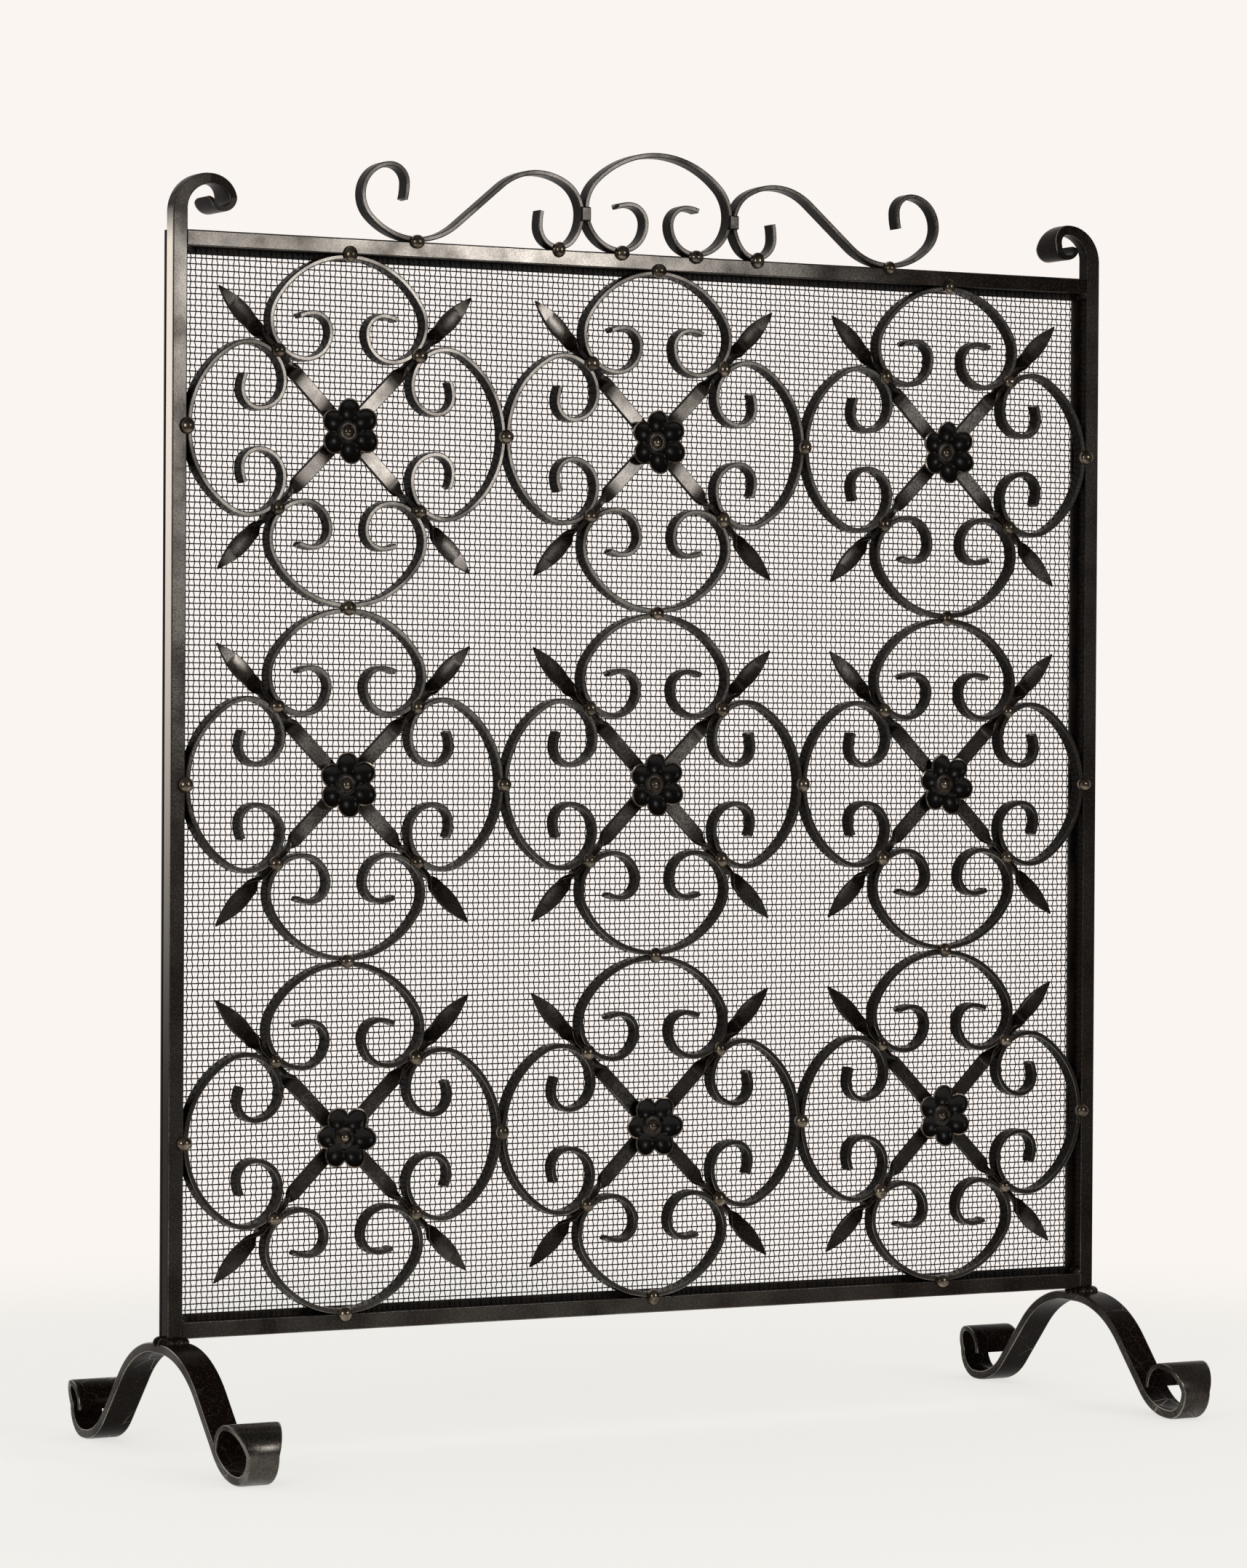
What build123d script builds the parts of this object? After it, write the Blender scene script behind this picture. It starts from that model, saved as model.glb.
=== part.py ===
from build123d import *
import math
import os

# A free-standing wrought-iron fire screen, in millimetres and degrees.
# It stands on the floor at z = 0, faces -Y, and is centred on x = 0 and y = 0.

# Frame of square bar
bar = 10.0
opening_width = 654.0
opening_height = 654.0
rail_lift = 74.0  # floor to the underside of the bottom rail
post_drop = 2.5  # how far each post runs on below the bottom rail
corner_weld_leg = 6.0

# Rolled tops of the posts, drawn out thin and flared front to back
post_rise = 11.7  # straight bar above the top rail
post_roll_radius = 20.0
post_fall_radius = 12.0
post_tuck_radius = 7.0
post_tip_radius = 7.5
post_tip_turn = 70.0
post_tip_thickness = 2.0
post_tip_flare = 26.0
post_tip_round = 3.0  # length over which the corners of the tip are taken off
post_tip_width = 14.0  # what is left of the width at the very end

# Feet of flat bar, arched front to back with flared, curled ends
foot_width = 20.0
foot_thickness = 6.0
foot_crown_radius = 70.0
foot_slope = 47.5
foot_ankle_radius = 39.5
foot_flat = 3.0  # worn flat where each curl meets the floor
foot_curl_radius = 16.0
foot_tip_radius = 14.0
foot_tip_turn = 95.0
foot_tip_thickness = 2.4
foot_tip_flare = 36.0
foot_weld_height = 7.0
foot_weld_spread = 4.5

# Scroll stock, used edge-on to the front
scroll_thickness = 3.2
scroll_depth = 10.0

# Rosette panels
columns = 3
rows = 3
shoulder_radius = 23.4
curl_radius = 17.0
curl_tip_radius = 11.4
curl_end_radius = 22.0
curl_end_turn = 25.0

# Cross bars, twisted edge-on between the scrolls and ending in a leaf
cross_width = 9.4
cross_thickness = 3.2
twist_length = 14.0
twist_clear = 10.0  # edge-on length each side of the joint with the scrolls
twist_steps = 2
leaf_length = 30.0
leaf_width = 11.0
leaf_belly = 8.0  # where the leaf is widest, from the end of its twist
leaf_thickness = 2.4
leaf_tip = 1.2

# Six-petalled flowers and their rivets
petal_count = 6
petal_root_width = 5.6
petal_belly = 12.5  # distance from the middle where a petal is widest
petal_width = 13.4
petal_belly_lift = 2.2  # how far the belly of a petal stands in front of the hub
petal_reach = 19.0
petal_tip_width = 6.0
petal_tip_lift = 4.6
flower_thickness = 1.6
hub_reach = 5.2
rivet_sides = 6
rivet_radius = 2.0
rivet_head_radius = 3.6
rivet_head_height = 2.6
rivet_crown_radius = 1.8

# Crest on the top rail: a C-scroll between two S-scrolls
arch_radius = 63.5
arch_shoulder_radius = 25.3
arch_curl_radius = 18.0
arch_tip_radius = 11.5
arch_end_radius = 25.0
arch_end_turn = 20.0
sweep_radius = 44.0
sweep_slope = 40.0
hump_radius = 40.0
hump_fall = 30.0
hump_shoulder_radius = 22.0
hump_side_radius = 26.0
hump_side_turn = 40.0
hump_heel_radius = 14.0
hump_curl_radius = 13.0
hump_end_radius = 45.0
hump_end_turn = 12.0
outer_shoulder_radius = 19.3
outer_tip_radius = 11.0
outer_end_radius = 40.0
outer_end_turn = 15.0
collar_width = 7.0
collar_height = 9.0
collar_depth = 2.5

# Weld beads
bead_sides = 6
bead_radius = 3.9
bead_belly_radius = 3.7
bead_belly_height = 2.6
bead_crown_radius = 1.9
bead_height = 4.8

# Wire mesh and the flat strips that hold it behind the frame
mesh_thickness = 1.2
mesh_margin = 1.0  # how far the sheet stays inside the frame's outer edge
strip_overhang = 4.0  # strip showing inside the frame
strip_thickness = 2.0
net_columns = 8
net_rows = 8
net_bar = 3.0  # each bar of the net stands for a band of fine wires

# Bends are made of flats that leave the true arc by this much at most
single_flat = 0.4
repeat_flat = 0.6

# Places worked out from the sizes above
frame_width = opening_width + 2 * bar
frame_bottom = rail_lift
frame_top = frame_bottom + opening_height + 2 * bar
post_x = opening_width / 2 + bar / 2
post_bottom = frame_bottom - post_drop
front = -bar / 2
back = bar / 2
pitch_x = opening_width / columns
pitch_z = opening_height / rows
joint_offset = (scroll_thickness + cross_thickness) / 2


class Walk:
    """The centre line of a bent bar, walked in straight runs and tangent bends.

    Each stop holds a point of the plane, the heading there and the length walked so far.
    A positive turn goes left.
    """

    def __init__(self, start, heading, flat):
        self.stops = [(start[0], start[1], heading, 0.0)]
        self.flat = flat

    def run(self, length):
        a, b, heading, walked = self.stops[-1]
        turn = math.radians(heading)
        a += length * math.cos(turn)
        b += length * math.sin(turn)
        self.stops.append((a, b, heading, walked + length))
        return self

    def bend(self, radius, angle):
        widest = 2 * math.degrees(math.acos(1 - self.flat / radius))
        count = math.ceil(abs(angle) / widest)
        a, b, heading, walked = self.stops[-1]
        side = math.copysign(radius, angle)
        centre_a = a - side * math.sin(math.radians(heading))
        centre_b = b + side * math.cos(math.radians(heading))
        for step in range(1, count + 1):
            turned = heading + angle * step / count
            stop_a = centre_a + side * math.sin(math.radians(turned))
            stop_b = centre_b - side * math.cos(math.radians(turned))
            length = walked + radius * math.radians(abs(angle)) * step / count
            self.stops.append((stop_a, stop_b, turned, length))
        return self

    def at(self, heading):
        """The first point where the bar heads this way."""
        return next((a, b) for a, b, turned, _ in self.stops if abs(turned - heading) < 1e-6)

    def length(self):
        return self.stops[-1][3]


def ease(length, start, end, first, last):
    """A size that grows evenly from first to last between two lengths along a bar."""
    share = min(max((length - start) / (end - start), 0.0), 1.0)
    return first + share * (last - first)


def strip(walk, thickness, depth):
    """A bar of even section, bent edge-on in the XZ plane."""
    left = []
    right = []
    for a, b, heading, _ in walk.stops:
        across_a = -math.sin(math.radians(heading)) * thickness / 2
        across_b = math.cos(math.radians(heading)) * thickness / 2
        left.append((a + across_a, b + across_b))
        right.append((a - across_a, b - across_b))
    outline = Polyline(*left, *reversed(right), close=True)
    return extrude(Plane.XZ * make_face(outline), depth / 2, both=True)


def facet_skin(sections):
    """Flat facets over a row of like-cornered sections, closed by a cap at each end."""
    faces = [Face(Wire.make_polygon(cap)) for cap in (sections[0], sections[-1])]
    sides = len(sections[0])
    for near, far in zip(sections, sections[1:]):
        for corner in range(sides):
            following = (corner + 1) % sides
            faces.append(Face(Wire.make_polygon([near[corner], near[following], far[following]])))
            faces.append(Face(Wire.make_polygon([near[corner], far[following], far[corner]])))
    return Solid(Shell(faces))


def oblong(middle, wide, thick):
    """The four corners of a section from its middle and its two half sizes."""
    return [middle + wide + thick, middle + wide - thick, middle - wide - thick, middle - wide + thick]


def ring(radius, depth, sides):
    """The corners of a round section this far in front of the middle of the bars."""
    corners = []
    for side in range(sides):
        turn = math.radians(360 * side / sides)
        corners.append(Vector(radius * math.cos(turn), -depth, radius * math.sin(turn)))
    return corners


def drawn_bar(walk, plane, thickness_at, width_at):
    """A bar bent in a plane whose thickness and width change along its length."""
    sections = []
    for a, b, heading, walked in walk.stops:
        turn = math.radians(heading)
        across = plane.y_dir * math.cos(turn) - plane.x_dir * math.sin(turn)
        spot = plane.from_local_coords(Vector(a, b))
        wide = plane.z_dir * (width_at(walked) / 2)
        sections.append(oblong(spot, wide, across * (thickness_at(walked) / 2)))
    return facet_skin(sections)


def with_mirror(half, plane):
    """Both halves of a symmetrical piece as one solid."""
    return half + mirror(half, plane)


def make_post():
    """The left post: straight bar whose top rolls in towards the screen and flares."""
    straight = frame_top + post_rise - post_bottom
    walk = Walk((-post_x, post_bottom), 90, single_flat)
    walk.run(straight)
    walk.bend(post_roll_radius, -90)
    walk.bend(post_fall_radius, -90)
    walk.bend(post_tuck_radius, -90)
    walk.bend(post_tip_radius, -post_tip_turn)
    rounding = walk.length()
    walk.run(post_tip_round)
    end = walk.length()
    flare_start = straight + math.radians(90) * post_roll_radius
    flare_end = flare_start + math.radians(90) * post_fall_radius
    return drawn_bar(
        walk,
        Plane.XZ,
        lambda s: ease(s, straight, end, bar, post_tip_thickness),
        lambda s: min(
            ease(s, flare_start, flare_end, bar, post_tip_flare),
            ease(s, rounding, end, post_tip_flare, post_tip_width),
        ),
    )


def make_foot():
    """The left foot: an arch of flat bar with a flat crown under the post."""
    crown = post_bottom - foot_thickness / 2
    sole = foot_thickness / 2
    arc_drop = (foot_crown_radius + foot_ankle_radius) * (1 - math.cos(math.radians(foot_slope)))
    leg = (crown - sole - arc_drop) / math.sin(math.radians(foot_slope))
    walk = Walk((0, crown), 0, single_flat)
    walk.run(bar / 2)
    walk.bend(foot_crown_radius, -foot_slope)
    walk.run(leg)
    walk.bend(foot_ankle_radius, foot_slope)
    walk.run(foot_flat)
    thinning = walk.length()
    walk.bend(foot_curl_radius, 90)
    flare_start = walk.length()
    walk.bend(foot_curl_radius, 90)
    flare_end = walk.length()
    walk.bend(foot_tip_radius, foot_tip_turn)
    end = walk.length()
    half = drawn_bar(
        walk,
        Plane.YZ,
        lambda s: ease(s, thinning, end, foot_thickness, foot_tip_thickness),
        lambda s: ease(s, flare_start, flare_end, foot_width, foot_tip_flare),
    )
    return Pos(-post_x, 0, 0) * with_mirror(half, Plane.XZ)


def make_foot_weld(post, foot):
    """The weld that swells out round the end of the post where it sits on the foot."""
    root = bar + 2 * foot_weld_spread
    low = Plane((-post_x, 0, post_bottom - foot_weld_height / 2))
    high = Plane((-post_x, 0, post_bottom + foot_weld_height / 2))
    lump = loft([low * Rectangle(root, root), high * Rectangle(bar + 1, bar + 1)], ruled=True)
    return lump - post - foot - rail(frame_bottom + bar / 2)


def make_corner_welds():
    """A fillet weld in each inside corner of the frame."""
    corner = make_face(Polyline((0, 0), (corner_weld_leg, 0), (0, corner_weld_leg), close=True))
    weld = extrude(Plane.XZ * corner, bar / 2, both=True)
    upper = Pos(-opening_width / 2, 0, frame_top - bar) * mirror(weld, Plane.XY)
    lower = Pos(-opening_width / 2, 0, frame_bottom + bar) * weld
    return [upper, lower, mirror(upper, Plane.YZ), mirror(lower, Plane.YZ)]


def rail(z):
    return Pos(0, 0, z) * Box(opening_width, bar, bar)


def scroll_walk(reach):
    """Half of a rosette C-scroll, from the middle of its back at this reach from the panel's centre.

    The radius of the back is the one that lets the shoulder bear on the diagonal cross bar.
    """
    back_line = reach - scroll_thickness / 2
    turn = math.radians(60)
    cross = math.radians(135)
    back_share = 1 - math.cos(turn) + math.sin(turn)
    shoulder_share = math.cos(turn) - math.cos(cross) + math.sin(cross) - math.sin(turn)
    spare = back_line - joint_offset * math.sqrt(2) - shoulder_radius * shoulder_share
    walk = Walk((0, back_line), 0, repeat_flat)
    walk.bend(spare / back_share, -60)
    walk.bend(shoulder_radius, -75)
    walk.bend(shoulder_radius, -45)
    walk.bend(curl_radius, -90)
    walk.bend(curl_tip_radius, -90)
    walk.bend(curl_end_radius, -curl_end_turn)
    return walk


def joint_distance(walk):
    """How far along the diagonal the shoulder of a scroll bears on the cross bar."""
    a, b = walk.at(-135)
    return (a + b) / math.sqrt(2)


def make_scrolls():
    """The four C-scrolls of one rosette, about the panel's centre."""
    scrolls = []
    for quarter in range(4):
        reach = pitch_z / 2 if quarter % 2 == 0 else pitch_x / 2
        half = strip(scroll_walk(reach), scroll_thickness, scroll_depth)
        scrolls.append(Rot(0, 90 * quarter, 0) * with_mirror(half, Plane.YZ))
    return scrolls


def cross_stations(joint):
    """Half of a cross bar: distance, width, thickness and twist from its middle outwards."""
    edge_start = joint - twist_clear
    edge_end = joint + twist_clear
    leaf_start = edge_end + twist_length
    stations = []
    for step in range(twist_steps + 1):
        share = step / twist_steps
        spot = edge_start - twist_length * (1 - share)
        stations.append((spot, cross_width, cross_thickness, 90 * share))
    for step in range(twist_steps + 1):
        share = step / twist_steps
        spot = edge_end + twist_length * share
        stations.append((spot, cross_width, cross_thickness, 90 * (1 - share)))
    stations.append((leaf_start + leaf_belly, leaf_width, leaf_thickness, 0))
    stations.append((leaf_start + leaf_length, leaf_tip, leaf_tip, 0))
    return stations


def make_cross_bar(joint, halving, angle):
    """One diagonal bar: halved over its fellow in the middle, twisted edge-on at its joints.

    The halving is cut from the front when it is -1 and from the back when it is 1.
    """
    half = cross_stations(joint)
    mirrored = [(-spot, width, thickness, -twist) for spot, width, thickness, twist in reversed(half)]
    corners = []
    for spot, width, thickness, twist in mirrored + half:
        turn = math.radians(twist)
        middle = Vector(spot, 0, 0)
        wide = Vector(0, math.sin(turn), math.cos(turn)) * (width / 2)
        thick = Vector(0, math.cos(turn), -math.sin(turn)) * (thickness / 2)
        corners.append(oblong(middle, wide, thick))
    notch = Pos(0, halving * cross_thickness / 2, 0) * Box(cross_width, cross_thickness, 2 * cross_width)
    return Rot(0, angle, 0) * (facet_skin(corners) - notch) - rivet_shank(bar)


def make_flower():
    """A flower of sheet: cupped petals that spring from the sides of a flat hub."""
    profile = [
        (hub_reach, petal_root_width, 0.0),
        (petal_belly, petal_width, petal_belly_lift),
        (petal_reach, petal_tip_width, petal_tip_lift),
    ]
    corners = []
    for reach, width, lift in profile:
        middle = Vector(0, -lift - flower_thickness / 2, reach)
        corners.append(oblong(middle, Vector(width / 2, 0, 0), Vector(0, flower_thickness / 2, 0)))
    petal = facet_skin(corners)
    hub = RegularPolygon(hub_reach, petal_count, major_radius=False)
    flower = extrude(Plane.XZ * hub, flower_thickness)
    for turn in range(petal_count):
        flower += Rot(0, turn * 360 / petal_count, 0) * petal
    return Pos(0, -cross_thickness / 2, 0) * flower - rivet_shank(bar)


def rivet_shank(length):
    """A rivet's shank, as long each way from the middle of the cross bars."""
    return extrude(Plane.XZ * RegularPolygon(rivet_radius, rivet_sides), length, both=True)


def make_rivet():
    """A round-headed rivet through the flower and both cross bars."""
    seat = cross_thickness / 2 + flower_thickness
    rivet = extrude(Plane.XZ * RegularPolygon(rivet_radius, rivet_sides), seat)
    rivet += rivet_shank(cross_thickness / 2)
    brim = ring(rivet_head_radius, seat, rivet_sides)
    crown = ring(rivet_crown_radius, seat + rivet_head_height, rivet_sides)
    return rivet + facet_skin([brim, crown])


def make_bead():
    """A weld bead that stands on the front of the bars it joins."""
    return facet_skin([
        ring(bead_radius, -front, bead_sides),
        ring(bead_belly_radius, -front + bead_belly_height, bead_sides),
        ring(bead_crown_radius, -front + bead_height, bead_sides),
    ])


def arch_walk():
    """Half of the crest's middle scroll, from the top of its arch."""
    drop = arch_radius * (1 - math.cos(math.radians(45)))
    drop += arch_shoulder_radius * (1 + math.cos(math.radians(45)))
    walk = Walk((0, scroll_thickness / 2 + drop), 0, single_flat)
    walk.bend(arch_radius, -45)
    walk.bend(arch_shoulder_radius, -45)
    walk.bend(arch_shoulder_radius, -90)
    walk.bend(arch_curl_radius, -90)
    walk.bend(arch_tip_radius, -90)
    walk.bend(arch_end_radius, -arch_end_turn)
    return walk


def hump_walk(start):
    """The inner part of a crest S-scroll, from where its outer bend rests on the rail."""
    slope = math.radians(sweep_slope)
    fall = math.radians(hump_fall)
    side = math.radians(hump_side_turn)
    rise = (sweep_radius + hump_radius) * (1 - math.cos(slope))
    drop = hump_radius * (1 - math.cos(fall)) + hump_shoulder_radius * math.cos(fall)
    drop += hump_side_radius * math.sin(side) + hump_heel_radius * (1 - math.sin(side))
    walk = Walk((start, scroll_thickness / 2), 0, single_flat)
    walk.bend(sweep_radius, sweep_slope)
    walk.run((drop - rise) / math.sin(slope))
    walk.bend(hump_radius, -sweep_slope - hump_fall)
    walk.bend(hump_shoulder_radius, hump_fall - 90)
    walk.bend(hump_side_radius, -hump_side_turn)
    walk.bend(hump_heel_radius, hump_side_turn - 90)
    walk.bend(hump_curl_radius, -90)
    walk.bend(hump_end_radius, -hump_end_turn)
    return walk


def outer_walk(start):
    """The outer curl of a crest S-scroll, from where it rests on the rail."""
    walk = Walk((start, scroll_thickness / 2), 180, single_flat)
    walk.bend(sweep_radius, -45)
    walk.bend(outer_shoulder_radius, -135)
    walk.bend(outer_tip_radius, -90)
    walk.bend(outer_end_radius, -outer_end_turn)
    return walk


def make_net():
    """The wire mesh as one holed sheet between the frame and the strips."""
    width = frame_width - 2 * mesh_margin
    height = opening_height + 2 * bar - 2 * mesh_margin
    cell_x = (opening_width - 2 * strip_overhang - net_bar) / net_columns
    cell_z = (opening_height - 2 * strip_overhang - net_bar) / net_rows
    gap = Rectangle(cell_x - net_bar, cell_z - net_bar)
    sheet = Rectangle(width, height) - GridLocations(cell_x, cell_z, net_columns, net_rows) * gap
    middle = (frame_bottom + frame_top) / 2
    plane = Plane(origin=(0, back, middle), x_dir=(1, 0, 0), z_dir=(0, 1, 0))
    return extrude(plane * sheet, mesh_thickness)


def make_strips():
    """The four flat strips behind the mesh, as left, right, top and bottom."""
    width = bar + strip_overhang
    depth = back + mesh_thickness + strip_thickness / 2
    middle = (frame_bottom + frame_top) / 2
    upright = Box(width, strip_thickness, frame_top - frame_bottom)
    level = Box(frame_width - 2 * width, strip_thickness, width)
    side = (frame_width - width) / 2
    return {
        "mesh_strip_left": Pos(-side, depth, middle) * upright,
        "mesh_strip_right": Pos(side, depth, middle) * upright,
        "mesh_strip_top": Pos(0, depth, frame_top - width / 2) * level,
        "mesh_strip_bottom": Pos(0, depth, frame_bottom + width / 2) * level,
    }


def panel_centres():
    """The name and place of each rosette panel, from the top left."""
    for row in range(rows):
        for column in range(columns):
            x = (column + 0.5) * pitch_x - opening_width / 2
            z = frame_top - bar - (row + 0.5) * pitch_z
            yield f"row{row + 1}_col{column + 1}", x, z


def make_rosettes():
    """Nodes for the scrolls, cross bars and flower of every panel."""
    nodes = {}
    scrolls = make_scrolls()
    joint = (joint_distance(scroll_walk(pitch_z / 2)) + joint_distance(scroll_walk(pitch_x / 2))) / 2
    rising = make_cross_bar(joint, 1, -45)
    falling = make_cross_bar(joint, -1, 45)
    flower = make_flower()
    rivet = make_rivet()
    bead = make_bead()
    rivets = []
    beads = []
    for name, x, z in panel_centres():
        place = Pos(x, 0, z)
        nodes[f"scrolls_{name}"] = [place * scroll for scroll in scrolls]
        nodes[f"cross_bars_{name}"] = [place * rising, place * falling]
        nodes[f"flower_{name}"] = [place * flower]
        rivets.append(place * rivet)
        reach = joint / math.sqrt(2)
        for side_x in (-1, 1):
            for side_z in (-1, 1):
                beads.append(place * Pos(side_x * reach, 0, side_z * reach) * bead)
    nodes["flower_rivets"] = rivets
    nodes["scroll_joint_welds"] = beads
    return nodes


def make_panel_welds():
    """The beads where the backs of the scrolls meet the frame and each other."""
    bead = make_bead()
    welds = []
    for row in range(rows + 1):
        for column in range(columns):
            x = (column + 0.5) * pitch_x - opening_width / 2
            welds.append(Pos(x, 0, frame_top - bar - row * pitch_z) * bead)
    for row in range(rows):
        for column in range(columns + 1):
            z = frame_top - bar - (row + 0.5) * pitch_z
            welds.append(Pos(column * pitch_x - opening_width / 2, 0, z) * bead)
    return welds


def make_crest():
    """Nodes for the crest scrolls, the collars between them and their welds to the rail."""
    arch = arch_walk()
    arch_side, _ = arch.at(-90)
    arch_foot, _ = arch.at(-180)
    hump_reach, touch = hump_walk(0).at(-90)
    start = -arch_side - scroll_thickness - hump_reach
    hump = hump_walk(start)
    hump_foot, _ = hump.at(-180)
    rest = Pos(0, 0, frame_top)
    middle = with_mirror(strip(arch, scroll_thickness, scroll_depth), Plane.YZ)
    left = strip(hump, scroll_thickness, scroll_depth)
    left += strip(outer_walk(start), scroll_thickness, scroll_depth)
    left = rest * left
    collar_y = front - collar_depth / 2
    collar_x = arch_side + scroll_thickness / 2
    collar = Pos(-collar_x, collar_y, frame_top + touch) * Box(collar_width, collar_depth, collar_height)
    bead = make_bead()
    feet = [start, hump_foot, -arch_foot]
    welds = [rest * Pos(side * x, 0, 0) * bead for x in feet for side in (-1, 1)]
    return {
        "crest_scroll_left": [left],
        "crest_scroll_middle": [rest * middle],
        "crest_scroll_right": [mirror(left, Plane.YZ)],
        "crest_collars": [collar, mirror(collar, Plane.YZ)],
        "crest_welds": welds,
    }


def make_nodes():
    """Every node of the screen, by name, as a list of its solids."""
    post = make_post()
    foot = make_foot()
    foot_weld = make_foot_weld(post, foot)
    nodes = {
        "post_left": [post],
        "post_right": [mirror(post, Plane.YZ)],
        "rail_top": [rail(frame_top - bar / 2)],
        "rail_bottom": [rail(frame_bottom + bar / 2)],
        "foot_left": [foot],
        "foot_right": [mirror(foot, Plane.YZ)],
        "foot_welds": [foot_weld, mirror(foot_weld, Plane.YZ)],
        "corner_welds": make_corner_welds(),
        "wire_mesh": [make_net()],
        "panel_welds": make_panel_welds(),
    }
    for name, strip_solid in make_strips().items():
        nodes[name] = [strip_solid]
    nodes.update(make_rosettes())
    nodes.update(make_crest())
    return nodes


os.makedirs("parts", exist_ok=True)
for node, solids in make_nodes().items():
    pieces = [solid for piece in solids for solid in piece.solids()]
    shape = pieces[0] if len(pieces) == 1 else Compound(children=pieces)
    export_step(shape, f"parts/{node}.step")
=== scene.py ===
"""A wrought-iron fire screen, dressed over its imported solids.

Everything is in metres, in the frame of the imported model: the floor is z = 0 and the front is -Y.
"""

import math

import bmesh
import bpy
from mathutils import Matrix, Quaternion, Vector


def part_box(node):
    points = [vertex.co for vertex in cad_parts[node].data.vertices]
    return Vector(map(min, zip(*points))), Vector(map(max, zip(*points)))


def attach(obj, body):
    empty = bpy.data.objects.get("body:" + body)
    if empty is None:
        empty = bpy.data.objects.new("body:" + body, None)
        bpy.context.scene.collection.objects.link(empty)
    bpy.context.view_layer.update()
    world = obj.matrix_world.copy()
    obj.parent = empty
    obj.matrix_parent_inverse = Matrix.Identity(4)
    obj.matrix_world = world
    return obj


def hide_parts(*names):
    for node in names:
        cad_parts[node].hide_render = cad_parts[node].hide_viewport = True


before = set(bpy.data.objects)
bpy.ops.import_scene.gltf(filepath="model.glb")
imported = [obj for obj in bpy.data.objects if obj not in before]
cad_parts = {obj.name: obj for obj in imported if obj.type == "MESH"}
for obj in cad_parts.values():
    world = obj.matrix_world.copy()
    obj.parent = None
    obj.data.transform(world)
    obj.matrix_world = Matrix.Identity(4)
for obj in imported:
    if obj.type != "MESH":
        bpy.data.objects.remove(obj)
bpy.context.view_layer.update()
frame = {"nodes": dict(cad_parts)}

bl_info = {
    "name": "Wrought-Iron Fire Screen",
    "version": (1, 0, 0),
    "blender": (4, 5, 0),
    "location": "View3D > Sidebar > Fire Screen",
    "description": "Builds a scrolled fire screen with riveted flowers, a wire mesh and its studio",
    "category": "Add Mesh",
}

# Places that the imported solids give
TOP_RAIL_LOW, TOP_RAIL_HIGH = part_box("rail_top")
MESH_LOW, MESH_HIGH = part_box("wire_mesh")
BAR = TOP_RAIL_HIGH.z - TOP_RAIL_LOW.z
OPENING_LEFT = TOP_RAIL_LOW.x
OPENING_RIGHT = TOP_RAIL_HIGH.x
OPENING_TOP = TOP_RAIL_LOW.z
OPENING_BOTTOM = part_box("rail_bottom")[1].z
FRAME_TOP = TOP_RAIL_HIGH.z
POST_X = OPENING_LEFT - BAR / 2
POST_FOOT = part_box("post_left")[0].z
STRIP_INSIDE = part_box("mesh_strip_left")[1].x

# The panels that the rosettes fill, and the petals of each flower
COLUMNS = 3
ROWS = 3
PETALS = 6
PITCH_X = (OPENING_RIGHT - OPENING_LEFT) / COLUMNS
PITCH_Z = (OPENING_TOP - OPENING_BOTTOM) / ROWS

# Planes that bars are bent in: the front of the screen, and its side for the feet
FRONT_PLANE = Matrix(((1, 0, 0, 0), (0, 0, -1, 0), (0, 1, 0, 0), (0, 0, 0, 1)))
SIDE_PLANE = Matrix(((0, 0, 1, 0), (1, 0, 0, 0), (0, 1, 0, 0), (0, 0, 0, 1)))
MIRROR = Matrix.Scale(-1, 4, (1, 0, 0))
UNMOVED = Matrix.Identity(4)
QUARTER = math.radians(90)
EIGHTH = math.radians(45)

# The ways that the worn flats of the bars face
FRONT = (0.0, -1.0, 0.0)
SIDE = (-1.0, 0.0, 0.0)

# Turns of the flowers in degrees, anticlockwise from the front: the usual one, and those riveted on askew
USUAL_TURN = 3
FLOWER_TURNS = {"row2_col3": 18, "row3_col1": 26, "row3_col2": 30}

# Faces that meet at more than this many degrees show a sharp edge: on bars, round pieces and petals
BAR_CREASE = 20
ROUND_CREASE = 60
PETAL_CREASE = 65

# How far the flats of a bend may stand off its arc, and how many steps finer work is made in
ARC_FIT = 0.00004
TIP_STEPS = 6
TWIST_STEPS = 10
LEAF_STEPS = 12
WELD_DROPS = 14
WIRE_SIDES = 3

# A leaf is widest at this share of its length, and keeps this little of its section at the point
LEAF_BELLY = 0.25
POINT_DEPTH = 0.0006
POINT_WIDTH = 0.0008

# Steps in radians that make drops and beads of weld uneven, with no repeat that shows
WIDE_PACE = 2.4
TALL_PACE = 3.7

# Wax along the bars, from 0 where it is rubbed off to 1 where it is thick: posts from the foot up, rails
# from the left, and the twists of the cross bars. Along the posts and rails it is partly wear and partly
# painted light: thin and lighter near the upper left as painted highlight, thick and darker to the right
# and towards the bottom as painted shade
POST_WAX_AND_LIGHT = (0.85, 0.75, 0.3, 0.85)
ROLL_WAX = 0.92
RAIL_WAX_AND_LIGHT = {
    "top": (0.3, 0.65, 0.1, 0.1, 0.35, 0.6, 0.85, 0.97, 1.0),
    "bottom": (0.85, 0.75, 0.75, 0.85, 0.95),
}
TWIST_WAX = 0.8

# Both arms of each cross bar, by the lean of the bar in degrees: the wax beside the flower, the least wax on
# the flat, and how much of the leaf is rubbed. The thick wax beside the flower on the second arm of each
# bar is a painted shadow of the flower; the rest is partly wear and partly painted highlight
ARM_WEAR_AND_LIGHT = {
    45: ((0.35, 0.1, 0.25), (1.0, 0.5, 0.3)),
    -45: ((0.25, 0.0, 0.8), (0.9, 0.2, 0.15)),
}

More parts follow.
